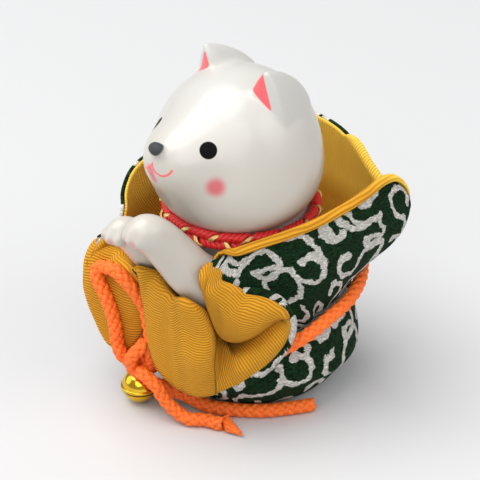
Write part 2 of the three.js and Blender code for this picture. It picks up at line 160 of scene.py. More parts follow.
def new_group(name, kind, inputs, outputs):
    # an empty node group, the wires that come into it, and the sockets that lead out of it
    group = bpy.data.node_groups.new(name, "ShaderNodeTree")
    for socket in inputs:
        group.interface.new_socket(socket, in_out="INPUT", socket_type="NodeSocket" + kind)
    for socket in outputs:
        group.interface.new_socket(socket, in_out="OUTPUT", socket_type="NodeSocketFloat")
    ins, outs = group.nodes.new("NodeGroupInput"), group.nodes.new("NodeGroupOutput")
    return group, [Wire(group, ins.outputs[n]) for n in inputs], [outs.inputs[n] for n in outputs]


def use(tree, group, *plugs):
    made = tree.nodes.new("ShaderNodeGroup")
    made.node_tree = group
    plug_in(zip(plugs, made.inputs))
    return [Wire(tree, plug) for plug in made.outputs]


def new_material(name, roughness, **constants):
    material = bpy.data.materials.new(name)
    material.use_nodes = True
    shader = material.node_tree.nodes["Principled BSDF"]
    shader.inputs["Roughness"].default_value = roughness
    for key, value in constants.items():
        shader.inputs[key.replace("_", " ").title().replace("Ior", "IOR")].default_value = value
    return material, material.node_tree, shader


# %% [markdown]
# ## Small helpers for shapes
# Yarn and cloth are both a flat sheet of squares that has been bent: round a line for a yarn, and round the
# bag for the cloth. So one function makes a grid, moves its corners to where the sheet goes, and writes its
# UV maps. They are in millimetres on the cloth, so that a pattern on it has its true scale.

# %% Shape helpers


def unit(vectors):
    return vectors / np.linalg.norm(vectors, axis=-1)[..., None]


def run_along(line):
    # how far along a line each of its points lies
    return np.concatenate([[0], np.cumsum(np.linalg.norm(np.diff(line, axis=0), axis=1))])


def finish_piece(name, work, material, replaced=()):
    mesh = bpy.data.meshes.new(name)
    work.to_mesh(mesh)
    work.free()
    mesh.materials.append(material)
    mesh.polygons.foreach_set("use_smooth", [True] * len(mesh.polygons))
    piece = into_scene(name, mesh)
    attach(piece, "root")
    if replaced:
        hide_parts(*replaced)
    print(f"{name}: {sum(len(p.vertices) - 2 for p in mesh.polygons)} triangles")
    return piece


def bent_grid(work, places, **uv_maps):
    # places and the maps are arrays of rows and columns, which each corner finds by its own flat place
    rows, columns = places.shape[:2]
    made = bmesh.ops.create_grid(work, x_segments=columns - 1, y_segments=rows - 1, size=0.5)
    stored = work.loops.layers.uv
    for name in uv_maps:
        if stored.get(name) is None:
            stored.new(name)
    maps = [(stored[name], values) for name, values in uv_maps.items()]
    faces, spot = set(), {}
    for corner in made["verts"]:
        i = round((corner.co.y + 0.5) * (rows - 1))
        k = round((corner.co.x + 0.5) * (columns - 1))
        spot[corner] = (i, k)
        corner.co = Vector(places[i, k]) * MM
        faces.update(corner.link_faces)
    for face in faces:
        for loop in face.loops:
            for layer, values in maps:
                loop[layer].uv = values[spot[loop.vert]]


def weld(work, distance=0.00002):
    bmesh.ops.remove_doubles(work, verts=work.verts[:], dist=distance)
    bmesh.ops.dissolve_degenerate(work, dist=1e-7, edges=work.edges[:])
    bmesh.ops.recalc_face_normals(work, faces=work.faces[:])


# %% [markdown]
# ## The routes of the cord
# One orange braided cord runs round the waist of the bag, is knotted in front, and ends in one bow loop and
# two tails. The routes are the solids' own, with the waist and the loop drawn closer to what is seen. A
# smooth curve through them is read again at even steps, because a braid shows any uneven step as a thick
# or thin stitch.

# %% Cord routes
# the cord's radius, and the step from point to point of a smooth route
CORD_R, STEP = 1.7, 0.42
# the free space between two layers, and how thick the printed cloth and the lining are
GAP, PRINT_THICK, LINING_THICK = 0.34, 0.8, 0.6
WAIST_R, WAIST_Z, WAIST_TILT = 24.2, 24.0, 5.0
CORD_OUT = WAIST_R + PRINT_THICK + GAP + CORD_R + 1.8
KNOT, KNOT_HALF = np.array([-5.2, -33.0, 13.4]), np.array([3.7, 3.2, 4.2])


def waist_height(azimuth):
    # the cord is drawn up on the right, where it runs steeply to the back
    turn = azimuth % 360
    rise = np.interp(turn, (0, 48, 90, 150, 240, 300, 360), (0, 0, 4.6, 4.6, 1, 0, 0))
    return WAIST_Z - WAIST_TILT * math.cos(math.radians(azimuth)) + float(rise)


def around(azimuth, radius, z):
    turn = math.radians(azimuth)
    return [radius * math.sin(turn), -radius * math.cos(turn), z]


def smooth_route(points, closed):
    points = np.array(points, float)
    count = len(points)
    fine = []
    for i in range(count if closed else count - 1):
        if closed:
            p = [points[(i + k) % count] for k in (-1, 0, 1, 2)]
        else:
            before = points[i - 1] if i else 2 * points[0] - points[1]
            after = points[i + 2] if i + 2 < count else 2 * points[-1] - points[-2]
            p = [before, points[i], points[i + 1], after]
        gaps = [max(np.linalg.norm(b - a), 1e-4) ** 0.5 for a, b in zip(p, p[1:])]
        one = (p[1] - p[0]) / gaps[0] - (p[2] - p[0]) / (gaps[0] + gaps[1]) + (p[2] - p[1]) / gaps[1]
        two = (p[2] - p[1]) / gaps[1] - (p[3] - p[1]) / (gaps[1] + gaps[2]) + (p[3] - p[2]) / gaps[2]
        one, two = one * gaps[1], two * gaps[1]
        for t in np.linspace(0, 1, 25)[:-1]:
            cubic = (2 * t**3 - 3 * t**2 + 1) * p[1] + (t**3 - 2 * t**2 + t) * one
            fine.append(cubic + (3 * t**2 - 2 * t**3) * p[2] + (t**3 - t**2) * two)
    fine.append(points[0] if closed else points[-1])
    fine = np.array(fine)
    run = run_along(fine)
    even = np.linspace(0, run[-1], max(int(run[-1] / STEP), 4) + 1)
    return np.stack([np.interp(even, run, fine[:, k]) for k in range(3)], axis=1)


def out_of_knot(*way):
    way = np.array(way) / np.linalg.norm(way)
    skin = 1 / np.linalg.norm(way / KNOT_HALF)
    return [KNOT + way * (skin + more) for more in (GAP, GAP + 1.2)]


BAND = [around(a, CORD_OUT, waist_height(a)) for a in range(60, 316, 15)]
FRONT_OF_BAND = [
    (332, 29.6, 17), (343, 31, 14.8), (351, 32, 13.6), (0, 31.2, 14),
    (11, 30, 14.6), (22, 28.6, 15.8), (33, 27.8, 17.6), (46, 27.8, 19.8),
]
BAND += [around(*place) for place in FRONT_OF_BAND]
BOW_LOOP = [
    *out_of_knot(0.35, -0.1, 0.95),
    (-2.4, -33.7, 23.1), (-3, -33.9, 27.7), (-3.7, -34.2, 31.4), (-4.9, -35.6, 34.9), (-5.9, -36.6, 37.3),
    (-7.9, -37.3, 39), (-11, -37.6, 40.4), (-14.4, -37.7, 40), (-16.8, -38.4, 39.1), (-16.9, -39, 37.2),
    (-15.8, -39, 35.2), (-13.8, -38.8, 32.1), (-12.1, -38.4, 27.8), (-11.1, -38.1, 23.6),
    (-10.9, -37.8, 19.2), (-9.8, -37.5, 16),
    *out_of_knot(-0.75, -0.6, 0.1)[::-1],
]
LONG_TAIL = [
    *out_of_knot(0.55, -0.8, 0),
    (1.6, -35.9, 11.2), (3.4, -34.6, 7.2), (6.2, -32.8, 3.6), (9.5, -31.1, 2),
    (12.1, -28.4, 1.9), (16.2, -26.8, 1.9), (20.2, -24.8, 1.8),
]
SHORT_TAIL = [
    *out_of_knot(0.6, -0.15, -0.8),
    (-0.6, -31.2, 7.4), (1.8, -28.8, 5.8), (4.4, -26.6, 4.4), (8.4, -24.4, 2.7),
    (12.9, -20.6, 1.9), (19.6, -14.4, 1.9), (23.6, -8.2, 1.9), (26.6, -2.4, 1.9),
]
KNOT_TURN = [
    (-3.1, -34.3, 21.5), (-3.9, -36.4, 19.5), (-5.3, -37.7, 17), (-6.1, -37, 13.4), (-5.5, -35.6, 11.2),
    (-3.6, -34.4, 12.4), (-2.7, -33.4, 15.6), (-3.3, -33.6, 18.6), (-6.4, -32.6, 18.4),
]
print("points on the band:", len(BAND), "loop:", len(BOW_LOOP), "tails:", len(LONG_TAIL), len(SHORT_TAIL))

# %% [markdown]
# ## How a round braid is made
# Eight yarns run round the middle of the cord, four one way and four the other, and each passes over one
# and under the next. Here each yarn is a thin bent grid whose distance from the middle rises at one crossing
# and falls at the next. Making the yarns for real gives the stitches their own light and shadow, which a
# painted braid would lose at the edge of the cord.

# %% Braided cord
# shares of the cord's radius: how far out a yarn runs, its swing, and half its width and thickness
YARN_OUT, YARN_SWING, YARN_WIDE, YARN_THICK = 0.67, 0.16, 0.47, 0.33


def directions(line, closed):
    along = np.gradient(line, axis=0)
    if closed:
        along[0] = along[-1] = line[1] - line[-2]
    return unit(along)


def frames_along(route, closed):
    # carries one sideways direction along the route without twist, and spreads what a ring leaves over
    along = directions(route, closed)
    sides = [unit(np.cross(along[0], [0.31, 0.2, 0.93]))]
    for direction in along[1:]:
        sides.append(unit(sides[-1] - direction * np.dot(sides[-1], direction)))
    sides = np.array(sides)
    if closed:
        left = math.atan2(np.dot(np.cross(sides[-1], sides[0]), along[0]), np.dot(sides[-1], sides[0]))
        turns = np.linspace(0, left, len(route))[:, None]
        sides = sides * np.cos(turns) + np.cross(along, sides) * np.sin(turns)
    return along, sides, np.cross(along, sides)


def yarn(work, centres, wide, thick, out, sides=7, closed=False):
    # one yarn: an oval section, wide across the cord and thin through it, that closes at its ends
    along = directions(centres, closed)
    across = unit(np.cross(along, out))
    up = np.cross(across, along)
    turn = np.linspace(0, 2 * math.pi, sides + 1)
    size = np.ones(len(centres))
    if not closed:
        size[[0, 1, -2, -1]] = 0.0, 0.75, 0.75, 0.0
    ring = across[:, None] * np.cos(turn)[:, None] * wide + up[:, None] * np.sin(turn)[:, None] * thick
    places = centres[:, None] + ring * size[:, None, None]
    if closed:
        places[-1] = places[0]
    places[:, -1] = places[:, 0]
    uv = np.stack(np.meshgrid(run_along(centres), np.linspace(0, 1, sides + 1), indexing="ij"), axis=2)
    bent_grid(work, places, UVMap=uv)


def braid(work, route, radius, pitch, closed, squeeze):
    # squeeze makes the section thinner one way and wider the other, at each point of the route
    along, side, other = frames_along(route, closed)
    run = run_along(route)
    if closed:
        pitch = run[-1] / max(round(run[-1] / pitch), 1)
    turned = 2 * math.pi * run / pitch
    weave = np.cos(4 * turned)
    for way in (1, -1):
        for i in range(4):
            angle = way * turned + i * math.pi / 2
            reach = radius * (YARN_OUT + YARN_SWING * way * weave)
            outwards = side * np.cos(angle)[:, None] * squeeze[:, :1]
            outwards = outwards + other * np.sin(angle)[:, None] * squeeze[:, 1:]
            centres = route + outwards * reach[:, None]
            yarn(work, centres, radius * YARN_WIDE, radius * YARN_THICK, outwards, closed=closed)


# %% [markdown]
# ## The finish of the cord
# The yarns are bright orange rayon: a soft sheen, fine fibres that run along each yarn, and a deeper, redder
# orange between the fibres, which is painted shade. They come from stripes across the yarn's own UV map,
# broken up by a little noise, and they give both the bump and the painted shade. Larger patches of noise
# vary the tone at random.

# %% Cord material


def thread_group():
    sockets = ("Along", "Round", "Twist"), ("Height", "Patches")
    group, (along, around_it, twist), (height, patches) = new_group("twisted fibres", "Float", *sockets)
    where = node(group, "CombineXYZ", along, around_it, 0.0)
    uneven = noise(where, 2.3, 3.0) * 1.6
    stripe = (around_it * 7.0 + along * twist + uneven) * (2 * math.pi)
    (stripe.math("SINE") * 0.5 + 0.5).to(height)
    noise(where, 0.5).to(patches)
    return group


THREADS = thread_group()


def thread_material(name, deep, bright, twist, roughness, sheen, metallic=0.0):
    material, tree, shader = new_material(name, roughness, metallic=metallic, sheen_weight=sheen)
    shader.inputs["Sheen Roughness"].default_value = 0.4
    shader.inputs["Sheen Tint"].default_value = bright
    along, around_it, _ = split(node(tree, "UVMap", uv_map="UVMap"))
    height, patches = use(tree, THREADS, along, around_it, twist)
    # painted shade: the colour is deeper between the fibres, and the patches vary the tone at random
    share = (height * 0.45 + 0.2).math("ADD", patches * 0.5, use_clamp=True)
    mix(share, deep, bright).to(shader.inputs["Base Color"])
    bump(shader, height, 0.5, 0.0001)
    return material


# the first colour of a braid is its painted shade between the fibres and the darker side of its random tone
orange_thread = thread_material("orange braid", (1.0, 0.095, 0.006, 1), (1.0, 0.22, 0.020, 1), 1.3, 0.6, 0.1)
print("orange braid:", len(THREADS.nodes), "nodes in the shared group")

# %% [markdown]
# ## Band, knot, bow loop and tails
# The band is pulled tight round the bag and is not free, so it is a plain piece. The loop and the two tails
# are free, and the length of each is printed. The long tail was cut without a knot: its last millimetres are
# flatter and wider, and then its threads spread in an open fan.

# %% Cord pieces
PITCH = 10.4
# the steps of the route that the open fan and the flattened end take, and the threads of the fan
FAN, FLAT_END, FAN_THREADS = 8, 10, 54


def frayed_end(work, route):
    # the cut end opens into a flat fan of loose threads
    random = np.random.default_rng(7)
    cut = np.array([(15.4, -22.9, 2.6), (23.4, -25.2, 1.0)])
    across = (cut[1] - cut[0]) / np.linalg.norm(cut[1] - cut[0])
    for share in np.linspace(0, 1, FAN_THREADS):
        start = route[-FAN - 2] + across * (share - 0.5) * 2.8 + (0, 0, random.uniform(-0.9, 1.0))
        tip = cut[0] + (cut[1] - cut[0]) * share + random.uniform(-0.5, 0.5, 3) * (1, 1, 0.8)
        tip[2] = max(tip[2], 0.9)
        t = np.linspace(0, 1, 9)[:, None]
        centres = start + (tip - start) * t + across * np.sin(t * 5 + share * 8) * 0.18
        yarn(work, centres, 0.36, 0.26, np.tile((0.0, 0.0, 1.0), (9, 1)), sides=6)


def spread_end(count):
    # the last steps of the cord grow flatter and wider
    share = np.clip((np.arange(count) - (count - FLAT_END)) / (FLAT_END - 1), 0, 1) ** 1.3
    return np.stack([1 - 0.3 * share, 1 + 0.4 * share], axis=1)


def cord_piece(name, points, closed=False, frayed=False, replaced=()):
    route = smooth_route(points, closed)
    work = bmesh.new()
    body = route[:-FAN] if frayed else route
    squeeze = spread_end(len(body)) if frayed else np.ones((len(body), 2))
    braid(work, body, CORD_R, PITCH, closed, squeeze)
    if frayed:
        frayed_end(work, route)
    # the yarns are pressed flat where they lie on the table
    for corner in work.verts:
        corner.co.z = max(corner.co.z, 0.0)
    weld(work)
    return finish_piece(name, work, orange_thread, replaced), route


def length_of(route):
    return float(run_along(route)[-1]) * MM


cord_piece("drawstring_band", BAND, closed=True, replaced=["drawstring"])
for name, points, far_end in (
    ("bow_loop_braid", BOW_LOOP, "object"),
    ("long_tail_braid", LONG_TAIL, "bare"),
    ("short_tail_braid", SHORT_TAIL, "bare"),
):
    piece, route = cord_piece(name, points, False, name == "long_tail_braid", [name.replace("_braid", "")])
    print(name, "is", round(length_of(route) * 1000, 1), "mm long")

# the knot is a closed trefoil line inside one turn of cord that comes over it
turn = np.linspace(0, 2 * math.pi, 90)[:-1]
wraps = [np.sin(turn) + 2 * np.sin(2 * turn), -np.sin(3 * turn) * 1.6, np.cos(turn) - 2 * np.cos(2 * turn)]
cord_piece("knot_wraps", KNOT + np.stack(wraps, 1) / 3.0 * (KNOT_HALF - 1.5), closed=True)
cord_piece("knot_turn", KNOT_TURN)

# %% [markdown]
# ## The mouth of the bag, as a table
# The cloth above the drawstring spreads into a wide mouth. Each row below is one station round it: the
# azimuth at the drawstring, the hem's x, y and z, how high the roll is that the cloth hangs over (0 where the
# rim stands up), how far the cloth is pushed out above the drawstring and at the hem, and at five stations
# the azimuth of that last push. The solids are made from an earlier state of the same table, so both keep
# one outline to within a few millimetres.

# %% Mouth table
MOUTH = [
    [-2, -1.8, -37, 45, 47, 5, 2], [1, -1.4, -36.4, 37, 46.5, 5, 4], [4, -1.3, -35.4, 28.5, 46, 5, 6],
    [7, -0.9, -35, 20, 46, 5, 8], [10.5, 1.4, -34.8, 14.8, 46, 5, 9], [14, 5.6, -33, 11.2, 45, 5, 9],
    [18, 10.6, -30.8, 10, 43, 5, 9], [22, 14, -28.4, 10.5, 39, 5, 9], [26, 16.5, -26.8, 12.2, 31, 4, 8],
    [31, 21, -22.8, 15.6, 27, 3, 7], [36, 24.4, -19.4, 20.2, 28, 3, 6], [41, 26.8, -16.8, 24, 29.5, 3, 5],
    [46, 28.4, -14.6, 28.4, 32.5, 3, 3], [51, 29.7, -14.6, 34.6, 0, 4, 3],
    [56, 28.4, -16.6, 39.1, 0, 5, 2.5], [61, 25.6, -20, 41.9, 0, 6, 2], [65, 22.2, -23.4, 42.5, 0, 5, 2],
    [68.5, 19.9, -27.4, 43.6, 0, 4, 2.5, 0], [71.5, 18.4, -30.2, 46.2, 0, 4, 3.5, -35],
    [74.5, 16.8, -27.3, 48, 0, 4, 4, -45], [77.5, 13.7, -25.1, 49.4, 0, 4, 3, -45],
    [80.5, 16.2, -20.4, 50.4, 0, 6, 1.5, -20], [84, 19.4, -15.4, 52.2, 0, 6, 1.5],
    [88, 23.4, -9.2, 54.2, 0, 7, 1.5], [93, 26.2, -3.2, 56, 0, 7, 1.5], [98, 28, 2.4, 57.8, 0, 8, 1.5],
    [104, 28.8, 7.8, 59.2, 0, 9, 1.5], [110, 29, 12.6, 60.2, 0, 10, 1.5],
    [115, 29.4, 17.2, 62.8, 0, 11, 1.5], [121, 30, 20.8, 61.8, 0, 13, 1.5],
    [126, 31.4, 23, 59.4, 0, 14, 1.5], [131, 31.6, 25.2, 55.2, 0, 14, 2], [136, 30.4, 26.8, 48.8, 0, 12, 2],
    [142, 23.4, 25.8, 51.6, 0, 9, 2], [149, 16.4, 25.6, 58, 0, 8, 2], [157, 11.4, 26.2, 62, 0, 7, 2],
    [166, 6.6, 27.4, 63.6, 0, 7, 1.5], [175, 0.8, 28.4, 64.2, 0, 7, 1.5],
    [184, -5.8, 28.8, 64.2, 0, 7, 1.5], [193, -12.2, 28.6, 63.8, 0, 7, 1.5],
    [202, -18.4, 25.8, 62.8, 0, 8, 1.5], [211, -23.8, 21.6, 61.4, 0, 8, 2], [220, -27.4, 16, 60.6, 0, 8, 2],
    [229, -29.2, 9.8, 60.2, 0, 8, 1.5], [238, -30, 3.4, 59.8, 0, 8, 1.5], [247, -30, -2.8, 58.6, 0, 7, 1.5],
    [256, -29.2, -8.8, 57, 0, 7, 1.5], [265, -28, -14.4, 57.2, 0, 7, 1.5],
    [273, -26.8, -18.8, 55.8, 0, 7, 1.5], [281, -25.6, -22.4, 51.8, 0, 7, 1.5],
    [288, -21.2, -25.2, 49.8, 0, 7, 1.5], [295, -19.8, -27.4, 45.8, 0, 7, 2],
    [302, -20.4, -33.4, 43.4, 44.5, 7, 2], [308, -22.8, -37.2, 37.7, 44, 7, 4],
    [314, -22.4, -39, 32.9, 44, 7, 6], [320, -20.6, -39, 28.2, 44, 7, 7],
    [326, -18.6, -38.4, 23.6, 44.5, 6, 7], [332, -17, -37.5, 18.9, 44.5, 5, 7],
    [337, -15, -36.4, 15, 45, 5, 7], [342, -11.3, -35.2, 13.8, 45.5, 5, 6],
    [346, -8.5, -33.8, 17.6, 46.5, 5, 5], [350, -6.4, -31.5, 22.8, 47.5, 5, 4],
    [353, -6.2, -31.8, 32.8, 48, 5, 3], [356, -4.4, -35.2, 43.6, 48, 5, 1],
]
STATIONS = len(MOUTH)
print("stations round the mouth:", STATIONS)

# %% Places of the forelegs
LEG_ROOM = 1.3  # how far the cloth stays off a foreleg
LEGS = {
    # x, y, z and radius, from the shoulder to the tip of the paw
    1: [
        [11.6, -14.6, 34, 7.4], [10.2, -22.6, 38.9, 7.1], [8.6, -28.7, 44.6, 6.4], [7.2, -33.8, 51.8, 5.8],
        [6.4, -38.2, 57.4, 5.3], [6, -41.2, 60, 4.9], [5.5, -43, 60.2, 4], [5.3, -44.4, 59.4, 2.4],
    ],
    -1: [
        [-11.6, -14.6, 34, 7.4], [-10.4, -21.6, 38, 6.8], [-7.6, -27, 43, 5.9], [-5.4, -31.2, 47, 5.3],
        [-4.4, -36, 52.2, 4.6], [-4.2, -39.4, 55.4, 4.1], [-4.6, -41.4, 55.9, 3.4], [-4.7, -42.7, 55.1, 2.2],
    ],
}
LEGS = {side: np.array(rows, float) for side, rows in LEGS.items()}
print("the paws end at", [legs[-1, :3].tolist() for legs in LEGS.values()])

# %% [markdown]
# ## The skirt of cloth above the drawstring
# Each station is one curve from the drawstring up and over to the hem. Where the curve would run into a
# foreleg it is slid off the clay, and the whole skirt is evened out afterwards, as cloth does by itself.
# That gives 64 curves of 6 points.

# %% Skirt of the bag


def skirt_curve(row):
    azimuth, x, y, z, crest, push_waist, push_hem = row[:7]
    waist = np.array(around(azimuth, WAIST_R, waist_height(azimuth)))
    hem = np.array([x, y, z], float)
    outwards = np.array(around(row[7], 1, 0)) if len(row) > 7 else np.array([x, y, 0]) / math.hypot(x, y)
    first = waist + np.array(around(azimuth, push_waist, 0))
    second = hem + outwards * push_hem
    if crest:
        first[2] = second[2] = (crest - (waist[2] + hem[2]) / 8) / 0.75
    else:
        first[2] += (hem[2] - waist[2]) * 0.3
        second[2] -= (hem[2] - waist[2]) * 0.35
    t = np.linspace(0, 1, 6)[:, None]
    s = 1 - t
    return s**3 * waist + 3 * s * s * t * first + 3 * s * t * t * second + t**3 * hem


def slide_off_legs(places):
    crest = np.array([row[4] for row in MOUTH])
    azimuth = np.array([row[0] for row in MOUTH])
    for side in (1, -1):
        for a, b in zip(LEGS[side], LEGS[side][1:]):
            # outwards and down where the cloth hangs over a roll, and sideways where it stands
            slide = unit(places * (1, 1, 0))
            slide[..., 2] = -1
            slide = unit(slide)
            slide[:, crest == 0] = 0
            slide[:, crest == 0, 0] = np.where(azimuth[crest == 0] < 180, 1, -1)
            line = b[:3] - a[:3]
            t = np.clip((places - a[:3]) @ line / (line @ line), 0, 1)
            reach = a[3] + (b[3] - a[3]) * t + LEG_ROOM
            away = places - (a[:3] + line * t[..., None])
            near = (away**2).sum(2)
            forward = (away * slide).sum(2)
            further = -forward + np.sqrt(np.maximum(forward**2 + reach**2 - near, 0))
            places = np.where((near < reach**2)[..., None], places + slide * further[..., None], places)
    return places


def evened(places):
    for _ in range(3):
        beside = (np.roll(places, 1, 1) + np.roll(places, -1, 1)) / 2
        moved = places.copy()
        inner = (beside[1:-1] + (places[2:] + places[:-2]) / 2) / 2
        moved[1:-1] = places[1:-1] * 0.5 + inner * 0.5
        moved[-1] = places[-1] * 0.85 + beside[-1] * 0.15
        moved[1:] = slide_off_legs(moved[1:])
        places = moved
    return places


SKIRT = evened(slide_off_legs(np.stack([skirt_curve(row) for row in MOUTH], axis=1)))
print("skirt curves:", SKIRT.shape)

# %% [markdown]
# ## Stations that are laid point by point, and the fine grid
# Fifteen stations at the dog's left are laid point by point instead: the right edge of the front roll, the
# deep crease beside it, the low band that turns up over the cord, and the flap that hangs over its own fold.
# All stations are then read much more finely in both directions, along smooth curves.

# %% Laid stations


def cubic_read(values, where, closed):
    # reads rows of values between their own places, along a smooth curve
    count = len(values)
    i = np.floor(where).astype(int)
    if closed:
        p, q, r, s = [values[(i + k) % count] for k in (-1, 0, 1, 2)]
    else:
        i = np.minimum(i, count - 2)
        longer = np.concatenate([[2 * values[0] - values[1]], values, [2 * values[-1] - values[-2]]])
        p, q, r, s = [longer[i + 1 + k] for k in (-1, 0, 1, 2)]
    t = (where - i).reshape((-1,) + (1,) * (values.ndim - 1))
    return q + 0.5 * t * (r - p + t * (2 * p - 5 * q + 4 * r - s + t * (3 * (q - r) + s - p)))


LAID = {
    6: [(9.5, -27.5, 31.5), (12.3, -34.8, 41.1), (11.3, -33.2, 32.5), (12.3, -33.6, 23.3)],
    7: [(12, -25.8, 29.5), (14.5, -30, 36.6), (16.1, -29.6, 29.9), (16.6, -31, 22.3)],
    8: [(10.4, -22.3, 25), (10.3, -22.8, 27.3), (13.7, -26.4, 24), (16.2, -28.4, 18.9)],
    9: [(12.6, -20.6, 21.6), (14.5, -22.2, 21.6), (19.6, -25.8, 22.3), (21.6, -26, 20.1)],
    10: [(15, -18.8, 22.4), (18, -19.8, 23.8), (22.3, -21.6, 24.5), (24.3, -21.2, 22.9)],
    11: [(17.8, -17.2, 24.2), (21.6, -17.6, 27.7), (25.4, -18.8, 28), (27.2, -18.4, 26.6)],
    12: [(20.8, -15.4, 26.4), (24.7, -15.4, 31.8), (27.7, -16, 32.3), (28.9, -15.6, 31)],
    13: [(23.4, -13.6, 28.4), (26.8, -14.6, 33.7), (28.2, -15.2, 34.6), (29.2, -15.3, 34.9)],
    14: [(22.6, -14.2, 28.4), (26.1, -17.4, 34.3), (27.6, -18.2, 36.2), (28.4, -17.8, 37.9)],
    15: [(20.6, -15.6, 26.6), (24.2, -20.8, 32), (25.8, -22.4, 35.4), (26.2, -21.8, 38.8)],
    16: [(18.6, -17, 25.2), (22, -23.6, 30.2), (22.8, -26, 34.6), (23, -25.8, 39)],
    17: [(17.4, -18.4, 24.6), (19, -25.4, 28.9), (19.5, -28.6, 36.6), (20.1, -28.8, 41.4)],
    18: [(17.6, -19.8, 26.6), (16.8, -26.8, 29.9), (18.5, -30.9, 39.8), (18.4, -32.2, 45.1)],
    19: [(19.6, -20.6, 30.4), (16.6, -28.8, 38.6), (16.8, -32.5, 46.4), (16.6, -30.9, 48.5)],
    20: [(20.8, -19, 34.6), (16.9, -29, 43.2), (15.9, -30, 47.5), (15.1, -28.7, 49.7)],
}
for k, inner in LAID.items():
    SKIRT[1:5, k] = inner
SKIRT[1:] = slide_off_legs(SKIRT[1:])
print("laid by hand:", len(LAID), "stations")

# %% Fine grid
FINE = 6  # columns of the fine grid to a station
ROWS = 46
COLUMNS = STATIONS * FINE
station = np.arange(COLUMNS) / FINE
height = np.linspace(0, 1, ROWS)
skirt = cubic_read(SKIRT, height * 5, closed=False)
skirt = cubic_read(skirt.transpose(1, 0, 2), station, closed=True).transpose(1, 0, 2)
print("skirt", skirt.shape, "lowest", skirt[..., 2].min().round(1), "highest", skirt[..., 2].max().round(1))

# %% [markdown]
# ## Folds that the table is too coarse for
# Cloth this small folds in a few definite places. The crease beside the front roll is pressed deeper, the
# roll beside it swells, and the roll behind the bow loop is dented. Each is a soft push on the fine grid,
# given by the station, the height on the skirt, their widths, and how far it moves.

# %% Folds
FOLDS = [
    # station, height, width in stations, width in height, push x, y, z
    [8.4, 0.66, 0.75, 0.26, -1.3, 2.6, -0.4],
    [6.5, 0.68, 0.9, 0.30, 0.9, -1.3, 0.2],
    [56.5, 0.62, 1.0, 0.22, 0.6, 1.6, -0.8],
]
for at_station, at_height, wide, high, *push in FOLDS:
    gap = np.abs(station - at_station)
    gap = np.minimum(gap, STATIONS - gap)
    share = np.exp(-(gap / wide) ** 2)[None] * np.exp(-(((height - at_height) / high) ** 2))[:, None]
    skirt = skirt + share[..., None] * np.array(push)
print("folds pushed in:", len(FOLDS))

# %% [markdown]
# ## The sack below the drawstring, and both layers
# Below the drawstring the sack is a round, full shape with a flat underside. The gathers of the drawstring
# die away above and below it as soft pleats. The skirt is one surface for both layers, each a fraction of a
# millimetre to its own side, and below it the lining has a smaller profile, so they can't pass through each
# other.

# %% Sack and layers
# radius and height, from the middle of the base to below the drawstring
SACK = [
    [0.5, 0], [9, 0], [15.5, 0.02], [18.4, 0.35], [20.8, 1.4], [23.2, 3.3], [25.2, 5.8], [27, 8.8],
    [28.4, 12.2],
]
LINING_SACK = [
    [0.5, 0], [9, 0], [14, 0.02], [17, 0.6], [20, 2.4], [23, 5.2], [25.4, 8.4], [26.6, 11],
    [27.4, 14],
]
LIFT = PRINT_THICK + GAP / 2
FULL = 5 * len(SACK)  # the rows of the sack, at five to a line of its profile
WIDEST = 40  # the row of the sack where it is fullest
PLEAT = 0.75  # how deep the pleats are
turns = np.unwrap(np.radians([row[0] for row in MOUTH]))
turns = np.concatenate([turns, turns[:2] + 2 * math.pi])
azimuths = np.degrees(cubic_read(turns, station, closed=False))


def pleats(azimuth):
    turn = np.radians(azimuth)
    broad, fine = 23 * turn + 1.3 * np.sin(5 * turn + 1), 37 * turn + 2 * np.sin(3 * turn)
    return np.sin(broad) * 0.6 + np.sin(fine) * 0.3


def whole_surface(sack):
    pleated = pleats(azimuths)[None] * PLEAT
    below = [[around(a, max(radius - LIFT, 0.4), z + LIFT) for a in azimuths] for radius, z in sack]
    coarse = np.stack(below + [skirt[0], skirt[2]])
    fine = cubic_read(coarse, np.linspace(0, len(sack), FULL + 1), closed=False)
    z = fine[..., 2]
    gather = np.exp(-(((skirt[0][:, 2] - z) / 5.5) ** 2)) * (z > 4)
    ring = np.hypot(fine[..., 0], fine[..., 1])
    fine[..., :2] *= (1 + pleated * gather / np.maximum(ring, 1))[..., None]
    above = skirt[1:].copy()
    # the skirt is some 26 mm long, and its pleats die away some 6 mm above the drawstring
    fade = np.exp(-((height[1:, None] * 26 / 6) ** 2))
    above[..., :2] += unit(above[..., :2]) * (pleated * fade)[..., None]
    return np.concatenate([fine, above])


def normals_of(places):
    across = np.roll(places, -1, 1) - np.roll(places, 1, 1)
    out = np.cross(across, np.gradient(places, axis=0))
    return out / np.maximum(np.linalg.norm(out, axis=2), 1e-9)[..., None]


def soft_normals(places):
    out = normals_of(places)
    for _ in range(3):
        out[1:-1] = out[1:-1] * 2 + out[2:] + out[:-2]
        out = unit(out * 2 + np.roll(out, 1, 1) + np.roll(out, -1, 1))
    return out


def closed_round(values):
    return np.concatenate([values, values[:, :1]], axis=1)


def cloth_uv(places):
    # the first number runs round the bag and the second up it, both in millimetres on the cloth
    up = np.linalg.norm(np.diff(places, axis=0), axis=2)
    up = np.concatenate([np.zeros((1, places.shape[1])), np.cumsum(up, axis=0)])
    # below the drawstring the cloth is measured at its widest, above it half-way up and at the hem
    rounds = []
    for rows in (places[[WIDEST]], places[[-ROWS // 2, -1]]):
        steps = np.linalg.norm(np.roll(rows, -1, 1) - rows, axis=2).mean(0)
        rounds.append(np.concatenate([[0], np.cumsum(steps)]))
    above = np.arange(len(up))[:, None] >= FULL
    return np.stack([np.where(above, rounds[1], rounds[0]), closed_round(up)], axis=2)


print("the sack has", FULL, "rows below the drawstring")

# %% [markdown]
# ## The rim
# Up the right side and at the left end of the front the lining rolls outwards over the printed cloth, which
# shows as a narrow mustard edge. Round the tip of the front fold it is the other way round, and a strip of
# printed cloth stands out past the lining. ROLL says for each station how far the lining rolls, from 0 to 1,
# and BEYOND where the printed hem is pushed out, and how far.

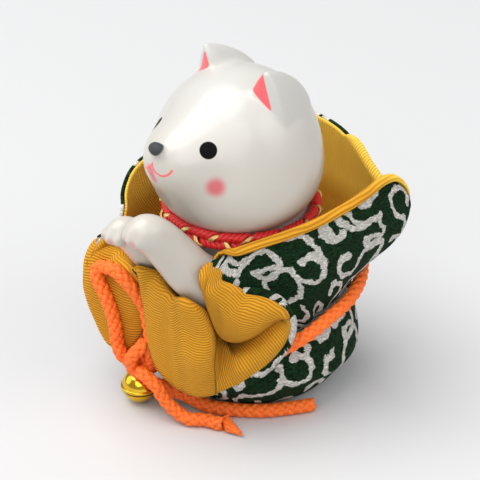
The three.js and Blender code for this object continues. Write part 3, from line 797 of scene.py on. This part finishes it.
# %% Rim
ROLL = np.ones(STATIONS)
for first, shares in (
    (0, [0.35] * 3 + [0] * 14 + [0.6] * 2),
    (29, [0.8, 0.5, 0.25, 0] + [0.6] * 3 + [0] * 16 + [0.5, 0.8]),
    (55, [0.7, 0.5, 0.3] + [0] * 4 + [0.3] * 2),
):
    ROLL[first : first + len(shares)] = shares
roll = cubic_read(ROLL, station, closed=True).clip(0, 1)
BEYOND = {
    8: (1.1, -0.2, -1.5), 9: (1.9, 0.3, -2.2), 10: (2.1, 0.5, -2.1), 11: (2.2, 0.9, -1.6),
    12: (2.2, 1.6, -0.9), 13: (1.9, 2.2, 0.3), 14: (0.7, 2, 1.4), 15: (-0.2, 1.4, 1.7), 16: (-0.5, 0.6, 1.3),
}
ROLL_RADIUS = 0.85


def let_out(places):
    # the printed cloth stands out past the lining round the tip of the front fold
    push = np.zeros((STATIONS, 3))
    for k, way in BEYOND.items():
        push[k] = way
    push = cubic_read(push, station, closed=True)
    for row, share in ((-1, 1.0), (-2, 0.7), (-3, 0.35)):
        places[row] += push * share
    return places


def rolled_hem(places, out, radius, roll):
    # carries the last row on over the edge of the other layer, as a small half circle and a short fall
    last, along = places[-1], unit(places[-1] - places[-3])
    rows = []
    for turn in np.linspace(0, 1, 9)[1:]:
        angle = (turn * math.pi * roll)[:, None]
        lift = np.sin(angle) * radius + (turn * 0.9 * roll)[:, None]
        rows.append(last + along * lift + out[-1] * (1 - np.cos(angle)) * radius)
    for drop in (0.5, 1.0):
        rows.append(rows[7] - along * (drop * roll)[:, None] + out[-1] * 0.02)
    return np.concatenate([places, np.stack(rows)])


print("rim rolls over at", int((roll > 0.5).sum()), "of", COLUMNS, "columns")

# %% [markdown]
# ## Crepe and print
# The printed cloth is crinkled crepe with an arabesque of vines, a common pattern for wrapping cloth: every
# vine curls up and ends in a fat round tip. One node group draws a single curl, a stroke whose radius
# shrinks while it turns, and a second one lays several of them, with their stems, on a repeating tile. Both
# work in the UV map's millimetres, so wherever the cloth goes a vine starts 1.6 mm wide and its tip is
# nearly 3 mm.

# %% Curl group
TILE = 31.0
TIP_SHARE = 1.15


def curl_group():
    names = ("X", "Y", "Centre X", "Centre Y", "Start", "Way", "Radius", "Shrink", "Sweep", "Width", "Fatten")
    group, wires, (result,) = new_group("one curl of a vine", "Float", names, ["Inside"])
    across, up, centre_x, centre_y, start, way, radius, shrink, sweep, width, fatten = wires
    x, y = [(a - b).math("WRAP", TILE / 2, -TILE / 2) for a, b in ((across, centre_x), (up, centre_y))]
    angle = ((y.math("ARCTAN2", x) - start) * way).math("WRAP", 2 * math.pi, 0.0)
    share = angle.math("DIVIDE", sweep)
    off_line = (root_sum(x, y) - (radius - share * shrink)).math("ABSOLUTE")
    stroke = width + share.math("POWER", 3.0) * fatten - off_line
    # outside its sweep the stroke is taken far away
    inside = (stroke + 5.0) * share.math("LESS_THAN", 1.0) - 5.0
    end, rest = start + way * sweep, radius - shrink
    off_tip = root_sum(x - end.math("COSINE") * rest, y - end.math("SINE") * rest)
    inside.math("MAXIMUM", (width + fatten) * TIP_SHARE - off_tip).to(result)
    return group


ONE_CURL = curl_group()
print("one curl has", len(ONE_CURL.nodes), "nodes")

# %% Arabesque group
CURLS = [
    # centre x, y, start angle, way, radius, shrink, sweep, width, fatten
    [6.0, 6.5, 190, 1, 4.9, 1.9, 285, 0.82, 0.4],
    [17.5, 4.0, 350, -1, 4.3, 1.6, 250, 0.82, 0.4],
    [26.5, 11.0, 120, -1, 4.6, 1.9, 290, 0.82, 0.4],
    [14.5, 15.5, 30, 1, 4.7, 1.9, 275, 0.82, 0.4],
    [4.5, 21.0, 260, -1, 4.5, 1.7, 270, 0.82, 0.4],
    [23.5, 24.0, 80, 1, 5.0, 2.0, 290, 0.82, 0.4],
    [13.0, 27.0, 300, 1, 3.6, 1.2, 230, 0.82, 0.35],
]
STEM = 6.4
for x, y, start, way, radius, *_ in list(CURLS):
    # a stem leads into every curl, bent the other way
    turn, reach = math.radians(start), radius + STEM
    middle = [x + math.cos(turn) * reach, y + math.sin(turn) * reach]
    CURLS.append(middle + [start + 180, way, STEM, 0.0, 100, 0.8, 0.0])


def arabesque_group():
    group, (cloth,), (vine,) = new_group("arabesque of vines", "Vector", ["Cloth"], ["Vine"])
    moved = cloth
    # a slow sway of the vines, and a small one of their edges
    for scale, reach in ((0.32, 3.4), (2.4, 0.9)):
        sway = noise(cloth, scale, out=1).vector("SUBTRACT", (0.5, 0.5, 0.5))
        moved = moved.vector("ADD", sway.vector("MULTIPLY", (reach, reach, 0.0)))
    x, y, _ = split(moved)
    most = None
    for at_x, at_y, start, way, radius, shrink, sweep, width, fatten in CURLS:
        stroke = (math.radians(start), way, radius, shrink, math.radians(sweep), width, fatten)
        (curl,) = use(group, ONE_CURL, x, y, at_x, at_y, *stroke)
        most = most.math("MAXIMUM", curl) if most else curl
    step(most, -0.12, 0.12).to(vine)
    return group


ARABESQUE = arabesque_group()
print("the arabesque has", len(CURLS), "strokes on a tile of", TILE, "mm")

# %% [markdown]
# ## Material of the printed cloth
# The crinkle is a fine, uneven relief, longer round the bag than up it. It moves the light, and its valleys
# are painted darker, as painted shade. The vines are printed over it in off-white, so they share the relief
# and its painted shade.

# %% Printed cloth material


def crinkle_group():
    group, (cloth,), (height,) = new_group("crepe crinkle", "Vector", ["Cloth"], ["Height"])
    coarse = noise(cloth.vector("MULTIPLY", (0.95, 2.6, 1.0)), 0.9, distortion=0.8)
    thread = noise(cloth.vector("MULTIPLY", (2.4, 5.2, 1.0)), 1.0)
    step(coarse * 0.65 + thread * 0.35, 0.36, 0.64).to(height)
    return group


CRINKLE = crinkle_group()


def printed_cloth_material():
    material, tree, shader = new_material("printed crepe", 0.9, specular_ior_level=0.15)
    place = node(tree, "UVMap", uv_map="UVMap")
    (vine,), (crinkle,) = use(tree, ARABESQUE, place), use(tree, CRINKLE, place)
    # painted shade: the green and the off-white are both darker in the valleys of the crinkle
    green = mix(crinkle, (0.0007, 0.0045, 0.0014, 1), (0.009, 0.050, 0.014, 1))
    white = mix(crinkle, (0.46, 0.445, 0.40, 1), (0.90, 0.88, 0.82, 1))
    mix(vine, green, white).to(shader.inputs["Base Color"])
    bump(shader, crinkle, 0.9, 0.00035)
    return material


printed_cloth = printed_cloth_material()
print("printed cloth has", len(printed_cloth.node_tree.nodes), "nodes")

# %% [markdown]
# ## Material of the lining
# The lining is a mustard crepe with a fine rib. On the rolls in front the ribs lie level, along the right
# side they follow the rim, and on the low fold and round the back they run up the cloth. So each corner of
# the mesh carries its own rib phase in a second UV map. Noise bends it, because no hand-cut lining has
# straight ribs. Inside the back of the bag the mustard is painted paler, as painted light where the head
# shades the lining.

# %% Lining material
RIB = 0.73


def lining_material():
    material, tree, shader = new_material("ribbed lining", 0.85, sheen_weight=0.05, specular_ior_level=0.25)
    shader.inputs["Sheen Tint"].default_value = (1.0, 0.75, 0.35, 1)
    ribs = split(node(tree, "UVMap", uv_map="ribs"))[0]
    cloth = node(tree, "UVMap", uv_map="UVMap")
    drift = (noise(cloth, 0.11, 1.0) - 0.5) * 1.4
    wave = ((ribs + drift) * (2 * math.pi / RIB)).math("SINE")
    speck = noise(cloth.vector("MULTIPLY", (3.2, 3.2, 1.0)), 1.0)
    relief = (wave * 0.5 + 0.5).math("POWER", 0.75) + speck * 0.45
    # painted shade: the mustard is darker in the rib valleys, and the speckle varies its tone at random
    share = relief.math("MULTIPLY_ADD", 0.9, -0.02, use_clamp=True)
    tint = mix(share, (0.40, 0.155, 0.006, 1), (0.78, 0.36, 0.018, 1))
    x, y, z = split(node(tree, "TexCoord", out="Object"))
    # painted light: inside the back of the bag the mustard is painted paler where the head shades the lining
    painted_light_zone = step(y - x * 0.8, -14 * MM, 0) * step(z, 43 * MM, 51 * MM)
    painted_light_mustard = mix(share, (0.95, 0.50, 0.035, 1), (1.0, 0.68, 0.09, 1))
    mix(painted_light_zone, tint, painted_light_mustard).to(shader.inputs["Base Color"])
    bump(shader, relief, 1.0, 0.00024)
    return material


ribbed_lining = lining_material()
print("lining has", len(ribbed_lining.node_tree.nodes), "nodes")

# %% [markdown]
# ## Cutting and sewing the two layers
# Each layer is a bent grid that is welded into a ring and drawn together under the base. Solidify gives it
# its thickness, and 0.34 mm stays free between the two. The area of each is printed.

# %% Bag pieces
RIB_TURNS = (7.5, 13, 31.5, 51.5)  # the stations after which the ribs run another way


def below_crest(places, uv):
    # how far each place lies below the crest that its column hangs over, so that the ribs stay level
    top = places[-ROWS:].argmax(0)[..., 2]
    columns = np.arange(places.shape[1])
    crest_run = uv[len(places) - ROWS + top, columns, 1]
    crest_z = places[-ROWS:, :, 2].max(0)
    level = np.concatenate([crest_z + crest_run] * 3)
    level = np.convolve(level, np.ones(7) / 7, "same")[len(columns) : 2 * len(columns)]
    return np.append(level, level[0])[None] - uv[..., 1]


def rib_phase(places, uv):
    along = np.broadcast_to(run_along(closed_round(places)[-ROWS // 4]), uv.shape[:2])
    level = below_crest(places, uv)
    rim = uv[-1:, :, 1] - uv[..., 1]
    way = np.searchsorted(RIB_TURNS, np.append(station, STATIONS))[None]
    phase = np.choose(way, [level, along, rim, along, level])
    return np.stack([phase, uv[..., 1]], axis=2)


def thicken(piece, thickness):
    modifier = piece.modifiers.new("thickness", "SOLIDIFY")
    modifier.thickness = thickness * MM
    modifier.offset = -1.0
    modifier.use_even_offset = False


def bag_layer(name, sack, shift, thickness, roll_radius, material, node_name):
    places = whole_surface(sack)
    out = soft_normals(places)
    moved = places + out * shift
    moved = rolled_hem(moved, out, roll_radius, roll) if roll_radius else let_out(moved)
    uv = cloth_uv(moved)
    work = bmesh.new()
    bent_grid(work, closed_round(moved), UVMap=uv, ribs=rib_phase(moved, uv))
    weld(work, 0.00005)
    if min(work.faces, key=lambda f: f.calc_center_median().z).normal.z > 0:
        bmesh.ops.reverse_faces(work, faces=work.faces[:])
    centre = [v for v in work.verts if v.is_boundary and math.hypot(v.co.x, v.co.y) < 2 * MM]
    if centre:
        middle = sum((v.co for v in centre), Vector()) / len(centre)
        bmesh.ops.pointmerge(work, verts=centre, merge_co=middle)
    print(name, "area", round(sum(f.calc_area() for f in work.faces) * 1e4, 1), "cm2")
    piece = finish_piece(name, work, material, [node_name])
    thicken(piece, thickness)
    return piece


cloth = bag_layer("printed_bag", SACK, LIFT, PRINT_THICK, 0, printed_cloth, "bag_cloth")
lining = bag_layer(
    "ribbed_bag_lining",
    LINING_SACK,
    -GAP / 2,
    LINING_THICK,
    ROLL_RADIUS,
    ribbed_lining,
    "bag_lining",
)

# %% [markdown]
# ## The dog
# The real dog is a hollow casting of white clay: soft lumps that run into each other, under a thick, glossy
# glaze. Each lump starts as a sphere, a spun body or a chain of spheres, and a voxel remesh then joins them
# into one skin that a short smoothing makes look cast. The head is one sphere whose corners are moved out
# along their own rays to where several egg shapes, run together, end.

# %% Head
HEAD = (np.array([0, -5.2, 69]), np.array([21.2, 21.4, 21.4]))
JOWLS = (np.array([0, -6.4, 63.8]), np.array([22.2, 21.0, 15.2]))
MUZZLE = (np.array([0, -24.4, 72.2]), np.array([9.6, 9.0, 8.4]))
NECK = (np.array([0, -4, 50]), np.array([17.2, 17.2, 14]))
FAR_OUT = 45.0  # a distance from the head's middle that is outside every egg


def to_egg(points, egg):
    q = (points - egg[0]) / egg[1]
    far = np.linalg.norm(q, axis=1)
    return far * (far - 1) / np.maximum(np.linalg.norm(q / egg[1], axis=1), 1e-6)


def run_together(a, b, soft):
    share = np.maximum(soft - np.abs(a - b), 0) / soft
    return np.minimum(a, b) - share**2 * soft / 4


def head_field(points):
    head = run_together(to_egg(points, HEAD), to_egg(points, JOWLS), 5)
    return run_together(head, to_egg(points, MUZZLE), 7)


def blown_up(work, field, centre, subdivisions):
    corners = bmesh.ops.create_icosphere(work, subdivisions=subdivisions, radius=1.0)["verts"]
    rays = np.array([v.co.normalized() for v in corners])
    inside, outside = np.zeros(len(rays)), np.full(len(rays), FAR_OUT)
    for guess in np.arange(FAR_OUT, 0, -1.0):
        hit = (inside == 0) & (field(centre + rays * guess) < 0)
        inside[hit] = guess
        outside[hit] = guess + 1.0
    for _ in range(12):
        middle = (inside + outside) / 2
        hit = field(centre + rays * middle[:, None]) < 0
        inside, outside = np.where(hit, middle, inside), np.where(hit, outside, middle)
    for corner, place in zip(corners, centre + rays * inside[:, None]):
        corner.co = Vector(place) * MM


clay = bmesh.new()
blown_up(clay, head_field, HEAD[0], 6)
blown_up(clay, lambda points: to_egg(points, NECK), NECK[0], 4)
print("head and neck:", len(clay.verts), "corners")

# %% [markdown]
# ## Ears, body and forelegs
# An ear is a cone that is wide, nearly flat in front, and slopes away behind. The body is a profile that is
# spun round, and nobody sees it inside the bag. A foreleg is a chain of spheres that overlap so closely that
# the remesh leaves no waist between them, with three small ones as toes.

# %% Ears, body and forelegs


def ear(work, side):
    facing = math.radians(19) * side
    apart = 12.7 if side > 0 else 11.6
    for corner in bmesh.ops.create_uvsphere(work, u_segments=32, v_segments=28, radius=1.0)["verts"]:
        co = corner.co
        t = math.acos(max(-1.0, min(1.0, -co.z))) / math.pi
        full = max(1 - t**1.7, 0.0) ** 0.8
        wide = max(5.9 * full, 0.6)
        back = max(17.5 * max(1 - t * t, 0) ** 0.75, 0.5)
        front = max(1.5 * full, 0.4)
        ring = math.hypot(co.x, co.y)
        x, y = (co.x / ring, co.y / ring) if ring > 1e-4 else (0.0, 0.0)
        across = x * wide
        deep = y * (back if y > 0 else front)
        # the foot of the far ear is set a little further in and back
        upright = 1.0 - t if side < 0 else 0.0
        place = (
            side * (apart - 0.9 * t)
            + 1.2 * upright
            + across * math.cos(facing)
            - deep * math.sin(facing) * 0.4,
            -7.4 + 0.6 * t + 2.0 * upright + across * math.sin(facing) + deep * math.cos(facing),
            79 + 15.6 * t - side * across * 0.25,
        )
        corner.co = Vector(place) * MM


def spun(work, profile, steps):
    # a line of radii and heights, turned round the upright axis
    corners = [work.verts.new((x * MM, 0, z * MM)) for x, z in profile]
    geom = corners + [work.edges.new(pair) for pair in zip(corners, corners[1:])]
    centre, axis = (0, 0, 0), (0, 0, 1)
    bmesh.ops.spin(work, geom=geom, cent=centre, axis=axis, angle=2 * math.pi, steps=steps, use_merge=True)


def ball(work, place, radius, shape=(1, 1, 1), fine=3):
    made = bmesh.ops.create_icosphere(work, subdivisions=fine, radius=radius * MM)["verts"]
    bmesh.ops.scale(work, verts=made, vec=shape)
    bmesh.ops.translate(work, verts=made, vec=Vector(place) * MM)


def foreleg(work, side):
    legs = LEGS[side]
    for x, y, z, r in cubic_read(legs, np.linspace(0, len(legs) - 1, 46), closed=False):
        ball(work, (x, y, z), r)
    x, y, z, _ = legs[-2]
    for across in (-2.4, 0.0, 2.4):
        ball(work, (x + across, y - 2.4 + abs(across) * 0.3, z - 0.6), 1.75, (0.8, 1.2, 1.1))


ear(clay, 1)
ear(clay, -1)
spun(clay, [(0, 2.3), (11.6, 2.3), (14.4, 5.4), (17.4, 13), (18.2, 24), (17.4, 38), (16.6, 50), (0, 54)], 48)
foreleg(clay, 1)
foreleg(clay, -1)
ball(clay, (0, -32.5, 77.8), 1, (2.5, 1.8, 1.9), fine=4)
print("all the clay:", len(clay.verts), "corners")

# %% [markdown]
# ## The glaze and the paint
# The glaze is warm white and glossy over a slightly wavy body. Eyes, nose, mouth, blush, ears and toes are
# painted. Each is a small mask made from the distance to a point or a line in the object's own space, so
# the paint is sharp at any distance and needs no picture.

# %% Masks for the paint


def spot_mask(place, point, radius, soft):
    away = place.vector("DISTANCE", tuple(c * MM for c in point), out=1)
    return 1.0 - step(away, (radius - soft) * MM, (radius + soft) * MM)


def from_centre(place, centre, tilt=0.0):
    # in the plane of the face: how far a place is from a centre, and how far it is above it
    x, _, z = split(place)
    x = x - centre[0] * MM
    z = z - centre[1] * MM + x * tilt
    return root_sum(x, z), z


def flat_spot(place, centre, radius, soft):
    far, _ = from_centre(place, centre)
    return 1.0 - step(far, (radius - soft) * MM, (radius + soft) * MM)


def smile_mask(place, centre, radius, wide, tilt):
    # the lower part of a ring, sheared so that one end hangs lower
    far, z = from_centre(place, centre, tilt)
    line = 1.0 - step((far - radius * MM).math("ABSOLUTE"), wide * 0.4 * MM, wide * MM)
    return line * step(z * -1.0, 0.7 * MM, 1.0 * MM)


EAR_PAINT = {1: ((11.7, -7.1, 88.0), 4.5, 1.8, 1.3), -1: ((-10.1, -6.1, 88.0), 3.7, 1.5, 1.0)}


def ear_mask(place, side):
    # the painted triangle: in the ear's own flat directions, across and up, and only on its front
    base, reach_in, reach_out, below = EAR_PAINT[side]
    turn = math.radians(19) * side
    away = place.vector("SUBTRACT", tuple(c * MM for c in base))
    x = away.vector("DOT_PRODUCT", (side * math.cos(turn), side * math.sin(turn), 0), out=1)
    y = away.vector("DOT_PRODUCT", (math.sin(turn), -math.cos(turn), 0), out=1)
    z = split(away)[2]
    inner = z * -0.62 + reach_in * MM + x
    outer = z * -0.36 + reach_out * MM - x
    foot = x * 0.75 + below * MM + z
    # a smooth minimum rounds the triangle's corners, as a brush does
    inside = inner.math("SMOOTH_MIN", outer, MM).math("SMOOTH_MIN", foot, MM)
    return step(inside.math("MINIMUM", y + 1.4 * MM), 0.0, 0.3 * MM)


def toe_mask(place, side):
    # a little pink in the grooves between the toes
    x, y, z, _ = LEGS[side][-2]
    left, right = [spot_mask(place, (x + across, y - 3.6, z - 1.2), 1.0, 0.9) for across in (-1.3, 1.3)]
    return left.math("MAXIMUM", right)


def on_skin(field, centre, way):
    # where a ray from the head's middle leaves it, in millimetres
    way = np.array(way) / np.linalg.norm(way)
    low, high = 0.0, FAR_OUT
    for _ in range(30):
        middle = (low + high) / 2
        low, high = (middle, high) if field((centre + way * middle)[None])[0] < 0 else (low, middle)
    return centre + way * low


EYES = {s: on_skin(head_field, HEAD[0], (9.6 * s, -18.8, 9.1)) for s in (1, -1)}
CHEEKS = {s: on_skin(head_field, HEAD[0], (12.7 * s, -19.3, 0.2)) for s in (1, -1)}
print("eye at", EYES[1].round(1), "cheek at", CHEEKS[1].round(1))

# %% Glaze material
PINK, DEEP_PINK = (0.66, 0.09, 0.12, 1), (0.92, 0.065, 0.09, 1)
TONGUE = (((-1.6, 71.4), 1.6), ((-0.7, 69.5), 1.3))
SMILE = (((2.15, 74.6), 3.1, 0.0), ((-2.9, 73.9), 2.35, -0.5))


def glaze_material():
    material, tree, shader = new_material("white glaze", 0.28, coat_weight=0.2, coat_roughness=0.12)
    place = node(tree, "TexCoord", out="Object")
    _, y, z = split(place)
    colour = mix(noise(place, 60.0), (0.54, 0.50, 0.44, 1), (0.58, 0.55, 0.49, 1))
    # painted highlight: the glaze is painted whiter towards the crown, where the light falls
    colour = mix(step(z, 70 * MM, 88 * MM), colour, (0.58, 0.566, 0.53, 1))
    front = y.math("LESS_THAN", -28.0 * MM)
    coats = [(flat_spot(place, *spot, 0.7) * front, PINK, 0.8) for spot in TONGUE]
    for centre, radius, tilt in SMILE:
        coats.append((smile_mask(place, centre, radius, 0.4, tilt) * front, DEEP_PINK, 0.85))
    for side in (1, -1):
        coats.append((spot_mask(place, CHEEKS[side], 2.3, 1.3), PINK, 0.9))
        coats.append((ear_mask(place, side), DEEP_PINK, 0.88))
        coats.append((toe_mask(place, side), PINK, 0.5))
    left_eye, right_eye = [spot_mask(place, EYES[side], 2.2, 0.12) for side in (1, -1)]
    eyes = left_eye.math("MAXIMUM", right_eye)
    snout = spot_mask(place, (0.2, -33.2, 78.8), 2.3, 0.3)
    coats += [(eyes, (0.002, 0.002, 0.002, 1), 1.0), (snout, (0.06, 0.063, 0.07, 1), 1.0)]
    for mask, paint, strength in coats:
        colour = mix(mask * strength, colour, paint)
    colour.to(shader.inputs["Base Color"])
    # the dark paint is matt and the rest is glossy
    matt = eyes.math("MAXIMUM", snout)
    finish = (("Roughness", 0.28, 0.2), ("Coat Weight", 0.2, -0.2), ("Specular IOR Level", 0.5, -0.42))
    for name, glossy, change in finish:
        (matt * change + glossy).to(shader.inputs[name])
    bump(shader, noise(place, 95.0, 1.0), 0.25, 0.0004)
    return material


white_glaze = glaze_material()
print("glaze has", len(white_glaze.node_tree.nodes), "nodes")

# %% [markdown]
# ## One casting
# The overlapping lumps become one closed skin, as slip takes the inside of a mould, and the smoothing rounds
# the grooves between them. The result is applied, so that the piece is a plain mesh.

# %% Joining the clay


def apply_modifiers(piece):
    shown = piece.evaluated_get(bpy.context.evaluated_depsgraph_get())
    made = bpy.data.meshes.new_from_object(shown)
    made.name = piece.name
    piece.modifiers.clear()
    piece.data = made
    made.polygons.foreach_set("use_smooth", [True] * len(made.polygons))


clay_piece = finish_piece("dog_casting", clay, white_glaze, ["dog"])
remesh = clay_piece.modifiers.new("join", "REMESH")
remesh.mode = "VOXEL"
remesh.voxel_size = 0.6 * MM
remesh.use_smooth_shade = True
smooth = clay_piece.modifiers.new("soften", "SMOOTH")
smooth.factor = 0.6
smooth.iterations = 7
apply_modifiers(clay_piece)
print("dog:", len(clay_piece.data.polygons), "faces after the remesh")

# %% [markdown]
# ## The collar
# The collar is a flat braid of five soft red yarns and one of three gold threads. In a flat braid every yarn
# swings from edge to edge, and is in front on one way and behind on the way back. Here each yarn is a closed
# line round the neck that swings in height by a sine, with a smaller sine of twice the pace in depth.

# %% Collar braid
COLLAR_R, COLLAR_Z, COLLAR_Y, SWINGS = 19.3, 51.4, -4.0, 15
# the first colour of each braid is its painted shade between the fibres and the darker side of its random
# tone
red_thread = thread_material("red braid", (0.42, 0.004, 0.006, 1), (0.88, 0.030, 0.030, 1), 1.6, 0.35, 0.1)
gold_thread = thread_material("gold thread", (0.60, 0.32, 0.04, 1), (1.0, 0.80, 0.34, 1), 4.0, 0.3, 0.0, 0.7)


def collar_yarns(places, radius, reach, lift):
    work = bmesh.new()
    turn = np.linspace(0, 2 * math.pi, 1441)
    out = np.stack([np.sin(turn), -np.cos(turn), 0 * turn], 1)
    for place in places:
        phase = SWINGS * turn + place * 2 * math.pi / 6
        z = COLLAR_Z + reach * np.sin(phase)
        r = COLLAR_R + lift + 0.75 * np.sin(2 * phase)
        centres = out * r[:, None] + np.stack([0 * z, 0 * z + COLLAR_Y, z], 1)
        yarn(work, centres, radius, radius * 0.75, out, sides=8, closed=True)
    weld(work)
    return work


red_yarns = collar_yarns([1, 2, 3, 4, 5], 0.8, 1.75, 0.1)
finish_piece("collar_braid", red_yarns, red_thread, ["collar"])
gold_yarns = collar_yarns([-0.22, 0, 0.22], 0.36, 1.7, 0.9)
finish_piece("collar_gold_thread", gold_yarns, gold_thread)

# %% [markdown]
# ## The bell
# A jingle bell is two pressed brass cups. The upper cup's edge is folded over the lower one, which leaves a
# bright bead with a dark line under it. The lower cup has a slot. The eye that the cord passes through is
# hidden by the cord, so none is made. The bell starts as a sphere and a spun bead.

# %% Bell
BELL, BELL_R = Vector((-8.1, -32.9, 4.95)), 4.7


def bell_material():
    material, tree, shader = new_material("polished brass", 0.12, metallic=1.0)
    place = node(tree, "TexCoord", out="Object")
    tone = noise(place, 420.0)
    brass = mix(tone, (0.74, 0.43, 0.025, 1), (0.88, 0.57, 0.05, 1))
    # the dark seam under the bead, where the two halves are pressed together
    off_seam = (split(place)[2] - (BELL.z - 0.75) * MM).math("ABSOLUTE")
    seam = 1.0 - step(off_seam, 0.14 * MM, 0.24 * MM)
    mix(seam, brass, (0.02, 0.012, 0.004, 1)).to(shader.inputs["Base Color"])
    (noise(place, 900.0, 4.0) * 0.14 + 0.06).to(shader.inputs["Roughness"])
    bump(shader, tone, 0.1, 0.0001)
    return material


def in_slot(face):
    x, y, z = face.calc_center_median() / MM
    return z < -0.05 and abs(y) < 0.5 and abs(x) < 3.4


polished_brass = bell_material()
work = bmesh.new()
bmesh.ops.create_uvsphere(work, u_segments=72, v_segments=48, radius=BELL_R * MM)
bmesh.ops.delete(work, geom=[f for f in work.faces if in_slot(f)], context="FACES")
bead = [(-0.15, -0.42), (0.28, -0.36), (0.36, 0), (0.28, 0.36), (-0.1, 0.5)]
spun(work, [(BELL_R + out, up) for out, up in bead], 72)
bmesh.ops.translate(work, verts=work.verts[:], vec=BELL * MM)
bmesh.ops.recalc_face_normals(work, faces=work.faces[:])
bell = finish_piece("jingle_bell", work, polished_brass, ["bell"])
thicken(bell, 0.4)

# %% [markdown]
# ## Table and light
# The figure was lit in a white studio: one broad soft light from high above the front, three paler ones from
# the left, the right and the front, and a white surround that fills every shadow.

# %% Table and light


def soft_light(name, place, size, power):
    data = bpy.data.lights.new(name, "AREA")
    data.shape = "DISK"
    data.size = size
    data.energy = power
    lamp = into_scene(name, data)
    lamp.location = place
    lamp.rotation_euler = (Vector((0, 0, 0.04)) - lamp.location).to_track_quat("-Z", "Y").to_euler()


work = bmesh.new()
bmesh.ops.create_grid(work, x_segments=8, y_segments=8, size=1.6)
mesh = bpy.data.meshes.new("table")
work.to_mesh(mesh)
work.free()
matt_table, _, shader = new_material("table", 0.7)
shader.inputs["Base Color"].default_value = (0.61, 0.61, 0.612, 1)
mesh.materials.append(matt_table)
table = into_scene("table", mesh)
soft_light("overhead", (-0.40, -0.40, 1.7), 1.8, 31.5)
soft_light("left front", (-1.0, -0.9, 0.6), 1.1, 3.6)
soft_light("right side", (1.1, 0.4, 0.9), 1.1, 4.5)
soft_light("front right", (0.70, -0.80, 0.95), 1.2, 6.5)
bpy.context.scene.view_settings.view_transform = "Standard"
world = bpy.data.worlds.new("surround")
world.use_nodes = True
surround = world.node_tree.nodes["Background"].inputs
surround[0].default_value = (0.97, 0.98, 1.0, 1)
surround[1].default_value = 0.42
bpy.context.scene.world = world
